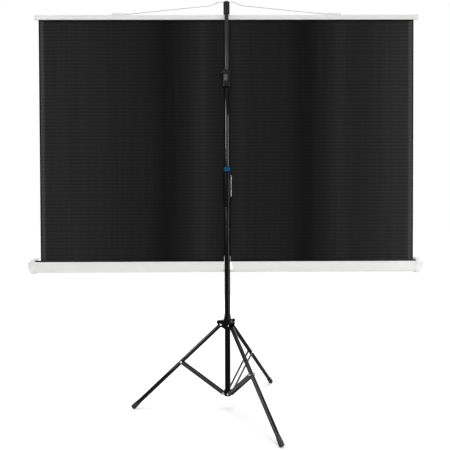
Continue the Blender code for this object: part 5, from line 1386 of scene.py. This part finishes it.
class SCREEN_OT_roll(bpy.types.Operator):
    """Model the rest of the sheet, wound on the roller"""
    bl_idname = "screen.roll"
    bl_label = "Wound sheet"

    def execute(self, context):
        lowest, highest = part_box("fabric_roll")
        outer = (highest.z - lowest.z) / 2
        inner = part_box("roller_tube")[1].z - box_middle("roller_tube").z + 0.0004
        middle = box_middle("fabric_roll")
        steps = round(ROLL_TURNS * 40)
        points = []
        for i in range(steps + 1):
            radius = inner + (outer - ROLL_CLOTH / 2 - inner) * i / steps
            turn = 2 * math.pi * ROLL_TURNS * i / steps + math.pi
            points.append((middle.y + radius * math.cos(turn), middle.z + radius * math.sin(turn)))
        roll = put(channel(points, ROLL_CLOTH, lowest.x, highest.x), SECTION)
        finish(roll, "wound_sheet", "backing_cloth", "roller", "fabric_roll")
        return {"FINISHED"}


class SCREEN_OT_sheet(bpy.types.Operator):
    """Model the sheet with its hems, the black backing in front and the white side behind"""
    bl_idname = "screen.sheet"
    bl_label = "Sheet"

    def execute(self, context):
        chosen = context.scene.screen_sheet
        lowest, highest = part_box("screen_fabric")
        plane = (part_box("top_bar")[0].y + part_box("top_bar")[1].y) / 2
        width = highest.x - lowest.x
        length = highest.z - lowest.z
        start()
        middle = ((lowest.x + highest.x) / 2, plane, (lowest.z + highest.z) / 2)
        bpy.ops.mesh.primitive_grid_add(x_subdivisions=SHEET_COLUMNS, y_subdivisions=SHEET_ROWS, size=1,
                                        location=middle,
                                        rotation=(math.pi / 2, 0, 0))
        cloth = context.object
        cloth.scale = (width, length, 1)
        bpy.ops.object.transform_apply(location=True, rotation=True, scale=True)
        for vertex in cloth.data.vertices:
            share = (vertex.co.z - lowest.z) / length
            hang = max(0.0, math.sin(math.pi * min(1.0, max(0.0, share)))) ** 0.35
            x = vertex.co.x - lowest.x
            vertex.co.y += hang * sum(depth * math.sin(2 * math.pi * x / span) for depth, span in WAVES)
        near_points = len(cloth.data.vertices)
        apply_modifier(cloth, "SOLIDIFY", thickness=chosen.thickness, offset=0)
        self.mark_viewing_side(cloth.data, near_points)
        for vertex in cloth.data.vertices:
            if min(vertex.co.x - lowest.x, highest.x - vertex.co.x) < chosen.hem:
                vertex.co.y += math.copysign(HEM_RISE, vertex.index - near_points + 0.5)
        finish(cloth, "sheet", "backing_cloth", None, "screen_fabric", look="sheet_cloth")
        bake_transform(cloth)
        return {"FINISHED"}

    def mark_viewing_side(self, mesh, near_points):
        """Store the side of each point, 1 on the far one, and its place before the sheet is moved."""
        side = mesh.attributes.new(VIEWING_SIDE, "FLOAT", "POINT")
        for index, item in enumerate(side.data):
            item.value = float(index >= near_points)
        place = mesh.attributes.new(FLAT_PLACE, "FLOAT_VECTOR", "POINT")
        for vertex, item in zip(mesh.vertices, place.data):
            item.vector = vertex.co


def area_lamp(name, location, aim, width, height, power):
    """A soft rectangular lamp that faces a point."""
    data = bpy.data.lights.new(name, "AREA")
    data.shape = "RECTANGLE"
    data.size = width
    data.size_y = height
    data.energy = power
    lamp = bpy.data.objects.new(name, data)
    bpy.context.scene.collection.objects.link(lamp)
    lamp.location = location
    lamp.rotation_euler = (Vector(aim) - Vector(location)).to_track_quat("-Z", "Y").to_euler()
    return lamp


def reflection_card(*settings):
    """A lamp that shows in reflections only: matt surfaces and the camera don't see it."""
    card = area_lamp(*settings)
    card.visible_diffuse = False
    card.visible_camera = False


def seen_share(tree):
    """1 for the camera, for reflections and through glass, and 0 for the light that falls on things."""
    path = tree.nodes.new("ShaderNodeLightPath")
    total = path.outputs["Is Camera Ray"]
    for name in ("Is Glossy Ray", "Is Transmission Ray"):
        highest = tree.nodes.new("ShaderNodeMath")
        highest.operation = "MAXIMUM"
        tree.links.new(total, highest.inputs[0])
        tree.links.new(path.outputs[name], highest.inputs[1])
        total = highest.outputs[0]
    return total


class SCREEN_OT_stage(bpy.types.Operator):
    """Set up the floor, the white surround, the lamps and the camera"""
    bl_idname = "screen.stage"
    bl_label = "Stage"

    def execute(self, context):
        chosen = context.scene.screen_stage
        self.make_camera(context, chosen)
        self.make_world(context, chosen)
        self.make_floor()
        centre = (0, 0, 1.1)
        key = area_lamp("key_lamp", (0.15, -3.5, 1.5), centre, 3.0, 2.2, chosen.key)
        key.visible_glossy = False
        for name, side, middle, height, share in CARDS:
            place = (side * CARD_OFFSET, CARD_FRONT, middle)
            reflection_card(f"card_{name}", place, (0, 0, middle), CARD_WIDTH, height,
                            chosen.cards * height * share)
        reflection_card("leg_card", (-1.5, -1.5, 1.75), (0, 0, 0.2), 0.30, 1.3, chosen.leg_card)
        area_lamp("back_lamp", (0.4, 3.6, 1.5), centre, 2.6, 1.6, chosen.rim)
        self.make_sun(context, chosen)
        context.scene.view_settings.view_transform = "Standard"
        return {"FINISHED"}

    def make_sun(self, context, chosen):
        """A soft light from straight above, for the shadows at the feet."""
        data = bpy.data.lights.new("overhead_sun", "SUN")
        data.energy = chosen.sun
        data.angle = math.radians(30)
        context.scene.collection.objects.link(bpy.data.objects.new("overhead_sun", data))

    def make_camera(self, context, chosen):
        data = bpy.data.cameras.new("photo_camera")
        data.sensor_width = 36
        data.lens = chosen.lens * 1000
        data.shift_y = 0.0011
        camera = bpy.data.objects.new("photo_camera", data)
        context.scene.collection.objects.link(camera)
        camera.location = CAMERA_PLACE
        camera.rotation_euler = (math.pi / 2 - CAMERA_PITCH, CAMERA_ROLL, CAMERA_TURN)
        context.scene.camera = camera

    def make_world(self, context, chosen):
        world = context.scene.world or bpy.data.worlds.new("studio")
        context.scene.world = world
        world.use_nodes = True
        tree = world.node_tree
        background = tree.nodes["Background"]
        background.inputs["Color"].default_value = (1, 1, 1, 1)
        strength = tree.nodes.new("ShaderNodeMapRange")
        strength.inputs["To Min"].default_value = chosen.ambient
        strength.inputs["To Max"].default_value = 1.0
        tree.links.new(seen_share(tree), strength.inputs["Value"])
        tree.links.new(strength.outputs["Result"], background.inputs["Strength"])

    def make_floor(self):
        start()
        bpy.ops.mesh.primitive_plane_add(size=FLOOR_SIZE, location=(0, 0, CAD_BOX[0].z))
        floor = bpy.context.object
        floor.name = "studio_floor"
        paper = bpy.data.materials.new("white_paper")
        paper.use_nodes = True
        tree = paper.node_tree
        diffuse = tree.nodes["Principled BSDF"]
        diffuse.inputs["Base Color"].default_value = (0.90, 0.90, 0.90, 1)
        diffuse.inputs["Roughness"].default_value = 0.9
        diffuse.inputs["Specular IOR Level"].default_value = 0.0
        glow = tree.nodes.new("ShaderNodeEmission")
        glow.inputs["Strength"].default_value = FLOOR_GLOW
        share = tree.nodes.new("ShaderNodeMath")
        share.operation = "MULTIPLY"
        share.inputs[1].default_value = FLOOR_GLOW_SHARE
        tree.links.new(seen_share(tree), share.inputs[0])
        mix = tree.nodes.new("ShaderNodeMixShader")
        tree.links.new(share.outputs[0], mix.inputs[0])
        tree.links.new(diffuse.outputs[0], mix.inputs[1])
        tree.links.new(glow.outputs[0], mix.inputs[2])
        tree.links.new(mix.outputs[0], tree.nodes["Material Output"].inputs["Surface"])
        floor.data.materials.append(paper)


OPERATORS = (SCREEN_OT_stage, SCREEN_OT_finishes, SCREEN_OT_mast, SCREEN_OT_hub, SCREEN_OT_collar,
             SCREEN_OT_legs, SCREEN_OT_braces, SCREEN_OT_grip, SCREEN_OT_upper_lock, SCREEN_OT_hook,
             SCREEN_OT_bail, SCREEN_OT_top_bar, SCREEN_OT_case, SCREEN_OT_roll, SCREEN_OT_sheet)
SETTINGS = {"screen_sheet": SheetSettings, "screen_finishes": FinishSettings, "screen_stage": StageSettings}


class SCREEN_PT_panel(bpy.types.Panel):
    """Sidebar panel with the screen's settings and its operators"""
    bl_idname = "SCREEN_PT_panel"
    bl_label = "Projection screen"
    bl_space_type = "VIEW_3D"
    bl_region_type = "UI"
    bl_category = "Screen"

    def draw(self, context):
        for group in SETTINGS:
            settings = getattr(context.scene, group)
            column = self.layout.column()
            for name in settings.bl_rna.properties.keys():
                if name not in ("rna_type", "name"):
                    column.prop(settings, name)
        for operator in OPERATORS:
            self.layout.operator(operator.bl_idname)


def register():
    for group, settings in SETTINGS.items():
        bpy.utils.register_class(settings)
        setattr(bpy.types.Scene, group, bpy.props.PointerProperty(type=settings))
    for operator in OPERATORS:
        bpy.utils.register_class(operator)
    bpy.utils.register_class(SCREEN_PT_panel)


def unregister():
    bpy.utils.unregister_class(SCREEN_PT_panel)
    for operator in reversed(OPERATORS):
        bpy.utils.unregister_class(operator)
    for group, settings in SETTINGS.items():
        delattr(bpy.types.Scene, group)
        bpy.utils.unregister_class(settings)


def main():
    register()
    bpy.ops.screen.stage()
    bpy.ops.screen.finishes()
    bpy.ops.screen.mast()
    bpy.ops.screen.hub()
    bpy.ops.screen.collar()
    bpy.ops.screen.legs()
    bpy.ops.screen.braces()
    bpy.ops.screen.grip()
    bpy.ops.screen.upper_lock()
    bpy.ops.screen.hook()
    bpy.ops.screen.bail()
    bpy.ops.screen.top_bar()
    bpy.ops.screen.case()
    bpy.ops.screen.roll()
    bpy.ops.screen.sheet()


if __name__ == "__main__":
    main()
